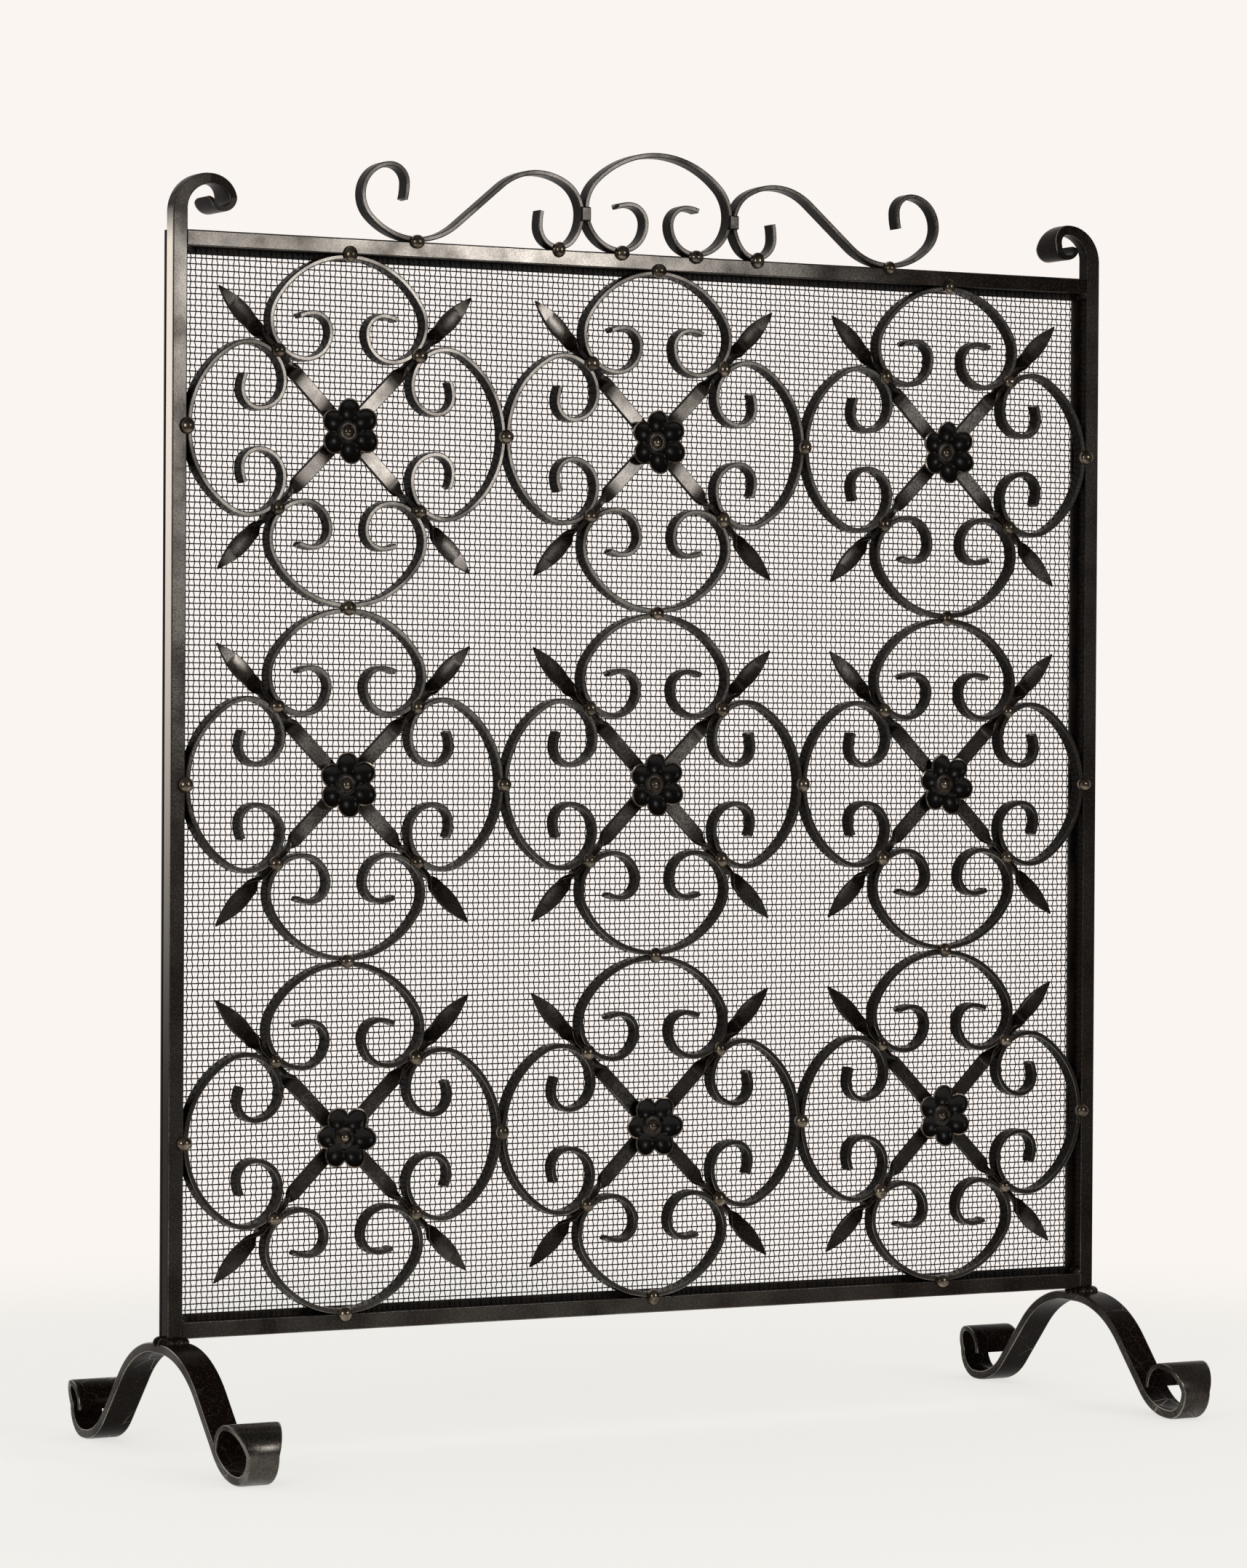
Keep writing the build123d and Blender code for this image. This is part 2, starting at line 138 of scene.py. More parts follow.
# The screen is lighter and more rubbed at its upper left, and darker towards the right and down: partly
# wear, partly painted highlight and shade. These shares of the rubbed, lighter finish are left on the right
# post, and from each panel to the next one across and down
RIGHT_POST_RUB_AND_LIGHT = 0.35
SCROLL_RUB_AND_LIGHT = (0.7, 0.75)
LEAST_SCROLL_RUB_AND_LIGHT = 0.5
CROSS_BAR_RUB_AND_LIGHT = (0.85, 0.7)

# How far the fronts of the toes are rubbed
TOE_WEAR = {"left": 0.7, "right": 0.4}


def linear(code):
    """A colour written as sRGB hex, as linear red, green, blue and alpha."""
    shades = []
    for start in (1, 3, 5):
        shade = int(code[start:start + 2], 16) / 255
        shades.append(shade / 12.92 if shade <= 0.04045 else ((shade + 0.055) / 1.055) ** 2.4)
    return (*shades, 1.0)


def length(name, description, default):
    """A length that a user can change, in metres."""
    return bpy.props.FloatProperty(
        name=name, description=description, default=default, min=0.0, precision=5, unit="LENGTH"
    )


def angle(name, description, degrees):
    """An angle that a user can change, given here in degrees."""
    return bpy.props.FloatProperty(
        name=name, description=description, default=math.radians(degrees), subtype="ANGLE"
    )


def colour(name, description, code):
    """A colour that a user can change, given here as sRGB hex."""
    return bpy.props.FloatVectorProperty(
        name=name, description=description, size=4, min=0.0, max=1.0, subtype="COLOR", default=linear(code)
    )


class FireScreenFrameSizes(bpy.types.PropertyGroup):
    """Sizes of the posts, rails and feet."""

    bar_edge: length("Bar edge", "Rounding on the corners of the square bar", 0.0009)
    post_rise: length("Post rise", "Straight bar above the top rail", 0.0117)
    roll_radius: length("Roll radius", "First quarter of the rolled post top", 0.020)
    fall_radius: length("Fall radius", "Second quarter of the rolled post top", 0.012)
    tuck_radius: length("Tuck radius", "Tight quarter bend under the roll", 0.007)
    tip_radius: length("Tip radius", "Last bend of the rolled post top", 0.0075)
    tip_turn: angle("Tip turn", "Turn of the last bend of the post", 70)
    tip_thickness: length("Tip thickness", "Thickness of the drawn-out end of the post", 0.002)
    tip_flare: length("Tip flare", "Width of the drawn-out end of the post", 0.026)
    tip_round: length("Tip round", "Length over which the corners of the tip are taken off", 0.003)
    tip_width: length("Tip width", "What is left of the width at the very end of the post", 0.014)
    foot_width: length("Foot width", "Width of the flat bar of the feet", 0.020)
    foot_thickness: length("Foot thickness", "Thickness of the flat bar of the feet", 0.006)
    foot_edge: length("Foot edge", "Rounding on the edges of the feet", 0.0011)
    crown_radius: length("Crown radius", "Bend over the crown of a foot", 0.070)
    slope: angle("Leg slope", "Slope of the straight leg of a foot", 47.5)
    ankle_radius: length("Ankle radius", "Bend where the leg meets the floor", 0.0395)
    sole: length("Sole", "Flat where the curl rests on the floor", 0.003)
    curl_radius: length("Foot curl radius", "Half turn of the curled toe", 0.016)
    toe_radius: length("Toe radius", "Last bend of the curled toe", 0.014)
    toe_turn: angle("Toe turn", "Turn of the last bend of the toe", 95)
    toe_thickness: length("Toe thickness", "Thickness of the drawn-out toe", 0.0024)
    toe_flare: length("Toe flare", "Width of the drawn-out toe", 0.036)
    toe_rub: length("Toe rub", "Middle of a foot to where its front toe is rubbed", 0.112)
    foot_weld_reach: length("Foot weld reach", "Middle of a post to the drops of weld round its end", 0.0068)
    foot_weld_drop: length("Foot weld drop", "Radius of a drop of weld round the end of a post", 0.0034)
    corner_weld: length("Corner weld", "Size of the weld in a corner of the frame", 0.0094)


class FireScreenRosetteSizes(bpy.types.PropertyGroup):
    """Sizes of the scrolls, cross bars, flowers and beads."""

    strip_thickness: length("Strip thickness", "Thickness of the scroll strip", 0.0032)
    strip_depth: length("Strip depth", "Depth of the scroll strip, front to back", 0.010)
    strip_edge: length("Strip edge", "Rounding on the edges of the scroll strip", 0.0007)
    shoulder_radius: length("Shoulder radius", "Bend of a scroll where it meets the cross bar", 0.0234)
    curl_radius: length("Curl radius", "First quarter of a scroll's curl", 0.017)
    curl_tip_radius: length("Curl tip radius", "Second quarter of a scroll's curl", 0.0114)
    curl_end_radius: length("Curl end radius", "Nearly straight end of a scroll's curl", 0.022)
    curl_end_turn: angle("Curl end turn", "Turn of the end of a scroll's curl", 25)
    joint_reach: length("Joint reach", "Sideways distance from a flower to the beads round it", 0.0482)
    cross_width: length("Cross bar width", "Width of the flat of a cross bar", 0.0094)
    cross_thickness: length("Cross bar thickness", "Thickness of a cross bar", 0.0032)
    cross_edge: length("Cross bar edge", "Rounding on the edges of a cross bar", 0.0006)
    twist_length: length("Twist length", "Length of each quarter twist", 0.014)
    twist_clear: length("Twist clear", "Edge-on length each side of the joint", 0.010)
    leaf_length: length("Leaf length", "Length of the pointed leaf at each end", 0.030)
    leaf_width: length("Leaf width", "Greatest width of a leaf", 0.011)
    leaf_thickness: length("Leaf thickness", "Thickness in the middle of a leaf", 0.0024)
    petal_width: length("Petal width", "Width of a cupped petal", 0.0150)
    petal_length: length("Petal length", "Length of a cupped petal", 0.0160)
    petal_depth: length("Petal depth", "Depth of the cup of a petal", 0.0042)
    petal_lean: angle("Petal lean", "How far the tips of the petals lean to the front", 10)
    petal_reach: length("Petal reach", "Middle of a flower to the middle of a petal", 0.0125)
    petal_wall: length("Petal wall", "Thickness of the sheet of a petal", 0.0009)
    hub_radius: length("Hub radius", "Raised middle of a flower, out to where it meets the petals", 0.0090)
    hub_height: length("Hub height", "How far the middle of a flower stands proud", 0.0026)
    groove_radius: length("Groove radius", "Groove round the rivet of a flower", 0.0038)
    rivet_radius: length("Rivet radius", "Round head of the rivet in a flower", 0.0030)
    bead_radius: length("Bead radius", "Weld beads on the front of the joints", 0.0046)


class FireScreenCrestSizes(bpy.types.PropertyGroup):
    """Sizes of the scrolls that stand on the top rail."""

    arch_radius: length("Arch radius", "Arch of the middle scroll", 0.0635)
    arch_shoulder_radius: length("Arch shoulder", "Shoulders of the middle scroll", 0.0253)
    arch_curl_radius: length("Arch curl", "First quarter of the curl under the arch", 0.018)
    arch_tip_radius: length("Arch curl tip", "Second quarter of the curl under the arch", 0.0115)
    arch_end_radius: length("Arch end", "Nearly straight end of the curl under the arch", 0.025)
    arch_end_turn: angle("Arch end turn", "Turn of the end of the curl under the arch", 20)
    sweep_radius: length("Sweep radius", "Hollow bend where an outer scroll rests on the rail", 0.044)
    sweep_slope: angle("Sweep slope", "Slope of an outer scroll between its bends", 40)
    hump_radius: length("Hump radius", "Hump of an outer scroll", 0.040)
    hump_fall: angle("Hump fall", "Fall of the hump before its shoulder", 30)
    hump_shoulder_radius: length("Hump shoulder", "Shoulder of the hump", 0.022)
    hump_side_radius: length("Hump side", "Side of the hump, against the middle scroll", 0.026)
    hump_side_turn: angle("Hump side turn", "Turn of the side of the hump", 40)
    hump_heel_radius: length("Hump heel", "Bend where the hump comes back to the rail", 0.014)
    hump_curl_radius: length("Hump curl", "Curl inside the hump", 0.013)
    hump_end_radius: length("Hump end", "Nearly straight end inside the hump", 0.045)
    hump_end_turn: angle("Hump end turn", "Turn of the end inside the hump", 12)
    outer_shoulder_radius: length("Outer shoulder", "Shoulder of the outer curl", 0.0193)
    outer_tip_radius: length("Outer tip", "Tip of the outer curl", 0.011)
    outer_end_radius: length("Outer end", "Nearly straight end of the outer curl", 0.040)
    outer_end_turn: angle("Outer end turn", "Turn of the end of the outer curl", 15)
    collar_width: length("Collar width", "Small block across a joint of the crest", 0.007)
    collar_height: length("Collar height", "Height of the small block", 0.009)
    collar_depth: length("Collar depth", "How far the small block stands proud", 0.0025)


class FireScreenMeshSizes(bpy.types.PropertyGroup):
    """Sizes of the woven wire."""

    pitch: length("Wire pitch", "Distance from wire to wire", 0.00363)
    wire_radius: length("Wire radius", "Half the thickness of a wire", 0.00044)
    crimp: length("Crimp", "How far an upright wire swings over and under the level wires", 0.00090)
    tuck: length("Tuck", "How far the mesh runs behind the strips", 0.005)


class FireScreenColours(bpy.types.PropertyGroup):
    """Colours of the finishes."""

    iron: colour("Waxed iron", "Dark wax over the iron", "#0F0C0A")
    worn: colour("Worn iron", "Brown-grey iron where the wax is thin", "#8F8982")
    bare: colour("Bare corner", "Grey iron where a corner has rubbed bare", "#A39D95")
    # Pale side of the posts: partly wear, partly a painted reflection of the bright surround
    side_wear_and_reflection: colour("Handled side", "Pale iron where hands have rubbed the posts", "#F4EBE1")
    rust: colour("Rust speckle", "Brown specks under the wax", "#3E2B1D")
    soot: colour("Dull bead", "Darker side of the weld metal", "#4C433A")
    bronze: colour("Bead", "Heat-coloured weld metal", "#8E8272")
    petal: colour("Petal", "Blackened sheet inside the petals", "#0C0A09")
    petal_rim: colour("Petal rim", "Brown-grey edge of the petals", "#7A6E62")
    wire: colour("Wire", "Blackened wire of the mesh", "#0B0A09")
    floor: colour("Floor", "Pale studio floor", "#FDFCF8")
    backdrop: colour("Backdrop", "Pale studio backdrop", "#FBF5F1")


class FireScreenSettings(bpy.types.PropertyGroup):
    """All settings of the fire screen."""

    frame: bpy.props.PointerProperty(
        name="Frame", description="Sizes of the posts, rails and feet", type=FireScreenFrameSizes
    )
    rosette: bpy.props.PointerProperty(
        name="Rosette", description="Sizes of scrolls, bars, flowers and beads", type=FireScreenRosetteSizes
    )
    crest: bpy.props.PointerProperty(
        name="Crest", description="Sizes of the scrolls on the top rail", type=FireScreenCrestSizes
    )
    mesh: bpy.props.PointerProperty(
        name="Mesh", description="Sizes of the woven wire", type=FireScreenMeshSizes
    )
    colours: bpy.props.PointerProperty(
        name="Colours", description="Colours of the finishes", type=FireScreenColours
    )


def add_node(tree, kind, inputs=None, **settings):
    """Add a shader node of a kind, with its settings, and set or link each of the inputs named."""
    node = tree.nodes.new("ShaderNode" + kind)
    for name, value in settings.items():
        setattr(node, name, value)
    for name, value in (inputs or {}).items():
        socket = node.inputs[name]
        if isinstance(value, bpy.types.NodeSocket):
            tree.links.new(value, socket)
        else:
            socket.default_value = value
    return node.outputs


def new_material(name):
    """A material, and its empty node tree if it still has to be filled."""
    material = bpy.data.materials.get(name)
    if material:
        return material, None
    material = bpy.data.materials.new(name)
    material.use_nodes = True
    material.node_tree.nodes.clear()
    return material, material.node_tree


def per_metre(millimetres):
    """The scale of a pattern whose features are this many millimetres across."""
    return 1000 / millimetres


def waxed_iron(name, across, flat_wear, edge_wear, speckle, side_wear_and_reflection=0.0, scratched=0.0):
    """Forged iron under dark wax: brown-black and pitted, grey on its flats, rubbed bare on its corners.

    The flats that face across are rubbed, except where the wax is thick. The outermost sides of the
    posts can take a pale metal finish, paler towards the top: partly wear, partly a painted reflection
    of the bright surround.
    """
    material, tree = new_material(name)
    if not tree:
        return material
    tone = bpy.context.scene.fire_screen.colours
    spot = add_node(tree, "TexCoord")["Object"]
    facing = add_node(tree, "NewGeometry")["Normal"]
    corner = add_node(tree, "Attribute", attribute_name="corner")["Fac"]
    wax = add_node(tree, "Attribute", attribute_name="wax")["Fac"]
    # Patches of thicker wax are about 35 mm across, hammer marks 7 mm, pits 1.3 mm
    patches = add_node(tree, "TexNoise", {"Vector": spot, "Scale": per_metre(35), "Detail": 4.0})["Fac"]
    hammer = add_node(tree, "TexNoise", {"Vector": spot, "Scale": per_metre(7), "Detail": 2.0})["Fac"]
    pits = add_node(
        tree, "TexNoise", {"Vector": spot, "Scale": per_metre(1.3), "Detail": 3.0, "Roughness": 0.65}
    )["Fac"]
    mottle = add_node(
        tree,
        "MapRange",
        {"Value": patches, "From Min": 0.36, "From Max": 0.62, "To Min": 0.35, "To Max": 1.2},
    )["Result"]
    grain = add_node(
        tree,
        "MapRange",
        {"Value": pits, "From Min": 0.32, "From Max": 0.68, "To Min": 0.65, "To Max": 1.25},
    )["Result"]
    uneven = add_node(tree, "Math", {0: mottle, 1: grain}, operation="MULTIPLY")["Value"]
    # Thin wax on the flats that face across, none on the corners
    ahead = add_node(tree, "VectorMath", {0: facing, 1: across}, operation="DOT_PRODUCT")["Value"]
    flat = add_node(
        tree, "MapRange", {"Value": ahead, "From Min": 0.6, "From Max": 0.96, "To Max": flat_wear}
    )["Result"]
    # The wax attribute also carries painted light on the posts, rails and panels: thin wax lightens the flats
    # as painted highlight, thick wax darkens them as painted shade
    thin = add_node(tree, "Math", {0: 1.0, 1: wax}, operation="SUBTRACT")["Value"]
    flat = add_node(tree, "Math", {0: flat, 1: thin}, operation="MULTIPLY")["Value"]
    flat = add_node(tree, "Math", {0: flat, 1: uneven}, operation="MULTIPLY", use_clamp=True)["Value"]
    edge = add_node(
        tree, "MapRange", {"Value": corner, "From Min": 0.3, "From Max": 0.9, "To Max": edge_wear}
    )["Result"]
    edge = add_node(tree, "Math", {0: edge, 1: uneven}, operation="MULTIPLY", use_clamp=True)["Value"]
    if scratched:
        # Fine scratches run about 16 mm, here and there, and are drawn 0.5 mm wide so that they show
        lines = add_node(
            tree, "TexVoronoi", {"Vector": spot, "Scale": per_metre(16)}, feature="DISTANCE_TO_EDGE"
        )["Distance"]
        lines = add_node(
            tree, "MapRange", {"Value": lines, "From Max": 0.016, "To Min": scratched, "To Max": 0.0}
        )["Result"]
        sparse = add_node(tree, "MapRange", {"Value": patches, "From Min": 0.48, "From Max": 0.6})["Result"]
        lines = add_node(tree, "Math", {0: lines, 1: sparse}, operation="MULTIPLY")["Value"]
        edge = add_node(tree, "Math", {0: edge, 1: lines}, operation="MAXIMUM")["Value"]
    rusty = add_node(
        tree, "MapRange", {"Value": pits, "From Min": 0.54, "From Max": 0.7, "To Max": speckle}
    )["Result"]
    # A colour mix has its colours at sockets 6 and 7, and gives the result at 2
    base = add_node(tree, "Mix", {0: rusty, 6: tone.iron[:], 7: tone.rust[:]}, data_type="RGBA")[2]
    base = add_node(tree, "Mix", {0: flat, 6: base, 7: tone.worn[:]}, data_type="RGBA")[2]
    base = add_node(tree, "Mix", {0: edge, 6: base, 7: tone.bare[:]}, data_type="RGBA")[2]
    rubbed = add_node(tree, "Math", {0: flat, 1: edge}, operation="MAXIMUM")["Value"]
    # Iron that is rubbed even a little mirrors as metal
    metal = add_node(tree, "Math", {0: rubbed, 1: 4.5}, operation="MULTIPLY", use_clamp=True)["Value"]
    if side_wear_and_reflection:
        # A pale finish on the outermost side of the posts, more towards the top but not on the rolls:
        # partly wear from hands, partly a painted reflection of the bright surround
        place = add_node(tree, "SeparateXYZ", {"Vector": spot})
        aside = add_node(tree, "Math", {0: place["X"]}, operation="ABSOLUTE")["Value"]
        outer = abs(OPENING_LEFT) + BAR
        reach = add_node(
            tree, "MapRange", {"Value": aside, "From Min": outer - 0.0004, "From Max": outer - 0.00005}
        )["Result"]
        height = add_node(
            tree,
            "MapRange",
            {"Value": place["Z"], "From Min": 0.2, "From Max": 0.65, "To Max": side_wear_and_reflection},
            interpolation_type="SMOOTHSTEP",
        )["Result"]
        below, above = FRAME_TOP - 0.01, FRAME_TOP + 0.02
        roll = add_node(
            tree,
            "MapRange",
            {"Value": place["Z"], "From Min": below, "From Max": above, "To Min": 1.0, "To Max": 0.0},
            interpolation_type="SMOOTHSTEP",
        )["Result"]
        height = add_node(tree, "Math", {0: height, 1: roll}, operation="MULTIPLY")["Value"]
        bare = add_node(tree, "Math", {0: reach, 1: height}, operation="MULTIPLY")["Value"]
        base = add_node(tree, "Mix", {0: bare, 6: base, 7: tone.side_wear_and_reflection[:]}, data_type="RGBA")[2]
        metal = add_node(tree, "Math", {0: metal, 1: bare}, operation="MAXIMUM")["Value"]
    rough = add_node(
        tree, "MapRange", {"Value": pits, "From Min": 0.3, "From Max": 0.7, "To Min": 0.2, "To Max": 0.34}
    )["Result"]
    relief = add_node(tree, "Math", {0: pits, 1: 0.6, 2: hammer}, operation="MULTIPLY_ADD")["Value"]
    bump = add_node(tree, "Bump", {"Strength": 0.08, "Distance": 0.0006, "Height": relief})["Normal"]
    shader = add_node(
        tree,
        "BsdfPrincipled",
        {
            "Base Color": base,
            "Metallic": metal,
            "Roughness": rough,
            "Specular IOR Level": 0.03,
            "Normal": bump,
        },
    )["BSDF"]
    add_node(tree, "OutputMaterial", {"Surface": shader})
    return material


def waxed_weld():
    """The waxed iron of the heavy welds in the corners and on the feet, which have no corners to rub."""
    return waxed_iron("Waxed weld lump", FRONT, flat_wear=0.2, edge_wear=0.0, speckle=0.4)


def blackened_sheet():
    """Thin sheet blackened and waxed: deep black in the cups, brown and rubbed along the rims."""
    material, tree = new_material("Blackened sheet iron")
    if not tree:
        return material
    tone = bpy.context.scene.fire_screen.colours
    spot = add_node(tree, "TexCoord")["Object"]
    rim = add_node(tree, "Attribute", attribute_name="corner")["Fac"]
    # Pits in the blackening are about 1.2 mm across, rubbed patches 4 mm
    pits = add_node(tree, "TexNoise", {"Vector": spot, "Scale": per_metre(1.2), "Detail": 3.0})["Fac"]
    rubbed = add_node(
        tree, "MapRange", {"Value": rim, "From Min": 0.1, "From Max": 1.0, "To Max": 1.2}
    )["Result"]
    patches = add_node(tree, "TexNoise", {"Vector": spot, "Scale": per_metre(4), "Detail": 2.0})["Fac"]
    grain = add_node(
        tree,
        "MapRange",
        {"Value": patches, "From Min": 0.38, "From Max": 0.62, "To Min": 0.1, "To Max": 1.2},
    )["Result"]
    rubbed = add_node(tree, "Math", {0: rubbed, 1: grain}, operation="MULTIPLY", use_clamp=True)["Value"]
    base = add_node(tree, "Mix", {0: rubbed, 6: tone.petal[:], 7: tone.petal_rim[:]}, data_type="RGBA")[2]
    rough = add_node(
        tree, "MapRange", {"Value": pits, "From Min": 0.3, "From Max": 0.7, "To Min": 0.2, "To Max": 0.36}
    )["Result"]
    bump = add_node(tree, "Bump", {"Strength": 0.2, "Distance": 0.0004, "Height": pits})["Normal"]
    shader = add_node(
        tree,
        "BsdfPrincipled",
        {
            "Base Color": base,
            "Metallic": rubbed,
            "Roughness": rough,
            "Specular IOR Level": 0.18,
            "Normal": bump,
        },
    )["BSDF"]
    add_node(tree, "OutputMaterial", {"Surface": shader})
    return material


def weld_metal():
    """Weld metal left as it set: smooth, domed and glossy, heat-coloured from bronze to grey."""
    material, tree = new_material("Heat-coloured weld metal")
    if not tree:
        return material
    tone = bpy.context.scene.fire_screen.colours
    spot = add_node(tree, "TexCoord")["Object"]
    # Heat colours change over about 5 mm, ripples in the bead over 1.5 mm
    heat = add_node(tree, "TexNoise", {"Vector": spot, "Scale": per_metre(5), "Detail": 2.0})["Fac"]
    ripple = add_node(tree, "TexNoise", {"Vector": spot, "Scale": per_metre(1.5), "Detail": 1.0})["Fac"]
    share = add_node(tree, "MapRange", {"Value": heat, "From Min": 0.35, "From Max": 0.65})["Result"]
    base = add_node(tree, "Mix", {0: share, 6: tone.soot[:], 7: tone.bronze[:]}, data_type="RGBA")[2]
    bump = add_node(tree, "Bump", {"Strength": 0.1, "Distance": 0.0005, "Height": ripple})["Normal"]
    shader = add_node(
        tree, "BsdfPrincipled", {"Base Color": base, "Metallic": 0.9, "Roughness": 0.22, "Normal": bump}
    )["BSDF"]
    add_node(tree, "OutputMaterial", {"Surface": shader})
    return material


def blackened_wire(name, browning):
    """Drawn wire or strip blackened by heat: nearly black, browner in patches, with a dull sheen."""
    material, tree = new_material(name)
    if not tree:
        return material
    tone = bpy.context.scene.fire_screen.colours
    spot = add_node(tree, "TexCoord")["Object"]
    # The blackening is thinner in patches of about 25 mm
    patches = add_node(tree, "TexNoise", {"Vector": spot, "Scale": per_metre(25), "Detail": 3.0})["Fac"]
    share = add_node(
        tree, "MapRange", {"Value": patches, "From Min": 0.4, "From Max": 0.7, "To Max": browning}
    )["Result"]
    base = add_node(tree, "Mix", {0: share, 6: tone.wire[:], 7: tone.rust[:]}, data_type="RGBA")[2]
    rough = add_node(tree, "MapRange", {"Value": patches, "To Min": 0.45, "To Max": 0.65})["Result"]
    shader = add_node(
        tree, "BsdfPrincipled", {"Base Color": base, "Roughness": rough, "Specular IOR Level": 0.3}
    )["BSDF"]
    add_node(tree, "OutputMaterial", {"Surface": shader})
    return material


def round_off(bm, parts, edge, affect):
    """Round the corners of an outline, or the edges of a block."""
    bmesh.ops.bevel(
        bm,
        geom=parts,
        offset=edge,
        offset_type="OFFSET",
        segments=2,
        profile=0.5,
        affect=affect,
        material=-1,
    )


def pick(parts, kind):
    """The vertices or the edges among the parts that an operator made."""
    return [part for part in parts if isinstance(part, kind)]


class BentBar:
    """A bar worked up from its section: an open rim that is pushed, bent, twisted and drawn out.

    The bar lies in a plane. It has a place there, a heading, a twist about its own line, a width
    across the plane and a thickness in it. A positive turn goes left.
    """

    def __init__(self, plane, start, heading, wide, thick, edge):
        self.bm = bmesh.new()
        self.plane = plane
        self.first = (start[0], start[1], math.radians(heading), 0.0, wide, thick)
        self.state = self.first
        bmesh.ops.create_grid(self.bm, x_segments=1, y_segments=1, size=0.5)
        bmesh.ops.scale(self.bm, vec=(wide, thick, 1), verts=self.bm.verts[:])
        round_off(self.bm, self.bm.verts[:], edge, "VERTICES")
        bmesh.ops.delete(self.bm, geom=self.bm.faces[:], context="FACES_ONLY")
        self.wax = self.bm.verts.layers.float.new("wax")
        corner = self.bm.verts.layers.float.new("corner")
        slack = edge / 100
        for vert in self.bm.verts:
            # The middle of a rounded corner is the only part that touches neither side
            vert[corner] = abs(vert.co.x) < wide / 2 - slack and abs(vert.co.y) < thick / 2 - slack
        unscaled = Matrix.Diagonal((1 / wide, 1 / thick, 1, 1))
        bmesh.ops.transform(self.bm, matrix=self.place(self.first) @ unscaled, verts=self.bm.verts[:])
        self.first_rim = self.bm.edges[:]
        self.rim = self.first_rim

    def place(self, state):
        """The matrix that sets a section of unit size at a place along the bar."""
        a, b, heading, twist, wide, thick = state
        stand = Matrix(((0, 0, 1, 0), (0, 1, 0, 0), (1, 0, 0, 0), (0, 0, 0, 1)))
        turned = Matrix.Translation((a, b, 0)) @ Matrix.Rotation(heading, 4, "Z") @ stand
        size = Matrix.Diagonal((wide, thick, 1, 1))
        return self.plane @ turned @ Matrix.Rotation(twist, 4, "Z") @ size

    def spot(self):
        """Where the rim is now, in the plane."""
        return self.state[:2]

    def section(self):
        """The width and thickness of the bar where the rim is now."""
        return self.state[4:]

    def rim_corners(self):
        """The vertices of the rim, each of them once and always in the same order."""
        return list(dict.fromkeys(vert for edge in self.rim for vert in edge.verts))

    def leave_wax(self, share):
        """Say how much of the thick wax is left on the bar where the rim is now."""
        for vert in self.rim_corners():
            vert[self.wax] = share

    def restart(self):
        """Go back to the first rim, to work the bar the other way."""
        a, b, heading, twist, wide, thick = self.first
        self.state = (a, b, heading + math.pi, twist, wide, thick)
        self.rim = self.first_rim

    def move_rim(self, state):
        """Pull the rim out to a new place, heading and size."""
        made = bmesh.ops.extrude_edge_only(self.bm, edges=self.rim)["geom"]
        self.rim = pick(made, bmesh.types.BMEdge)
        matrix = self.place(state) @ self.place(self.state).inverted()
        bmesh.ops.transform(self.bm, matrix=matrix, verts=pick(made, bmesh.types.BMVert))
        self.state = state

    def run(self, distance):
        """Push the rim straight ahead."""
        self.draw_run(distance, *self.section(), 0.0)

    def draw_run(self, distance, wide, thick, twist):
        """Push the rim straight ahead, to a new width, thickness and twist."""
        a, b, heading, turned, _, _ = self.state
        ahead = (a + distance * math.cos(heading), b + distance * math.sin(heading))
        self.move_rim((*ahead, heading, turned + twist, wide, thick))

    def pivot(self, radius, turn):
        """The centre of a bend, and its radius with the sign of the turn."""
        a, b, heading = self.state[:3]
        side = math.copysign(radius, turn)
        return a - side * math.sin(heading), b + side * math.cos(heading), side

    def steps(self, radius, turn):
        """How many flats keep a bend close to its arc."""
        return math.ceil(abs(turn) / (2 * math.acos(1 - ARC_FIT / radius)))

    def bend(self, radius, turn):
        """Spin the rim round a bend of even section."""
        a, b, side = self.pivot(radius, turn)
        made = bmesh.ops.spin(
            self.bm,
            geom=[*self.rim_corners(), *self.rim],
            cent=self.plane @ Vector((a, b, 0)),
            axis=self.plane.col[2].to_3d(),
            angle=turn,
            steps=self.steps(radius, turn),
        )
        self.rim = pick(made["geom_last"], bmesh.types.BMEdge)
        heading = self.state[2] + turn
        ahead = (a + side * math.sin(heading), b - side * math.cos(heading))
        self.state = (*ahead, heading, *self.state[3:])

    def draw_bend(self, radius, turn, wide, thick, wax=None):
        """Work the rim round a bend while its width, its thickness and any wax change evenly."""
        a, b, side = self.pivot(radius, turn)
        _, _, start, twist, first_wide, first_thick = self.state
        count = self.steps(radius, turn)
        for step in range(1, count + 1):
            share = step / count
            heading = start + turn * share
            ahead = (a + side * math.sin(heading), b - side * math.cos(heading))
            now_wide = first_wide + (wide - first_wide) * share
            now_thick = first_thick + (thick - first_thick) * share
            self.move_rim((*ahead, heading, twist, now_wide, now_thick))
            if wax:
                self.leave_wax(wax[0] + (wax[1] - wax[0]) * share)

    def close(self):
        """Cap the open ends, and hand over the finished shape."""
        bmesh.ops.holes_fill(self.bm, edges=self.bm.edges[:], sides=0)
        return self.bm


def set_in(target, part, place=UNMOVED):
    """Copy a shape into a piece at a place."""
    held = bpy.data.meshes.new("held")
    part.to_mesh(held)
    held.transform(place)
    target.from_mesh(held)
    bpy.data.meshes.remove(held)


def copy_of(part, place=UNMOVED):
    """A new shape that is a copy of another at a place."""
    made = bmesh.new()
    set_in(made, part, place)
    return made


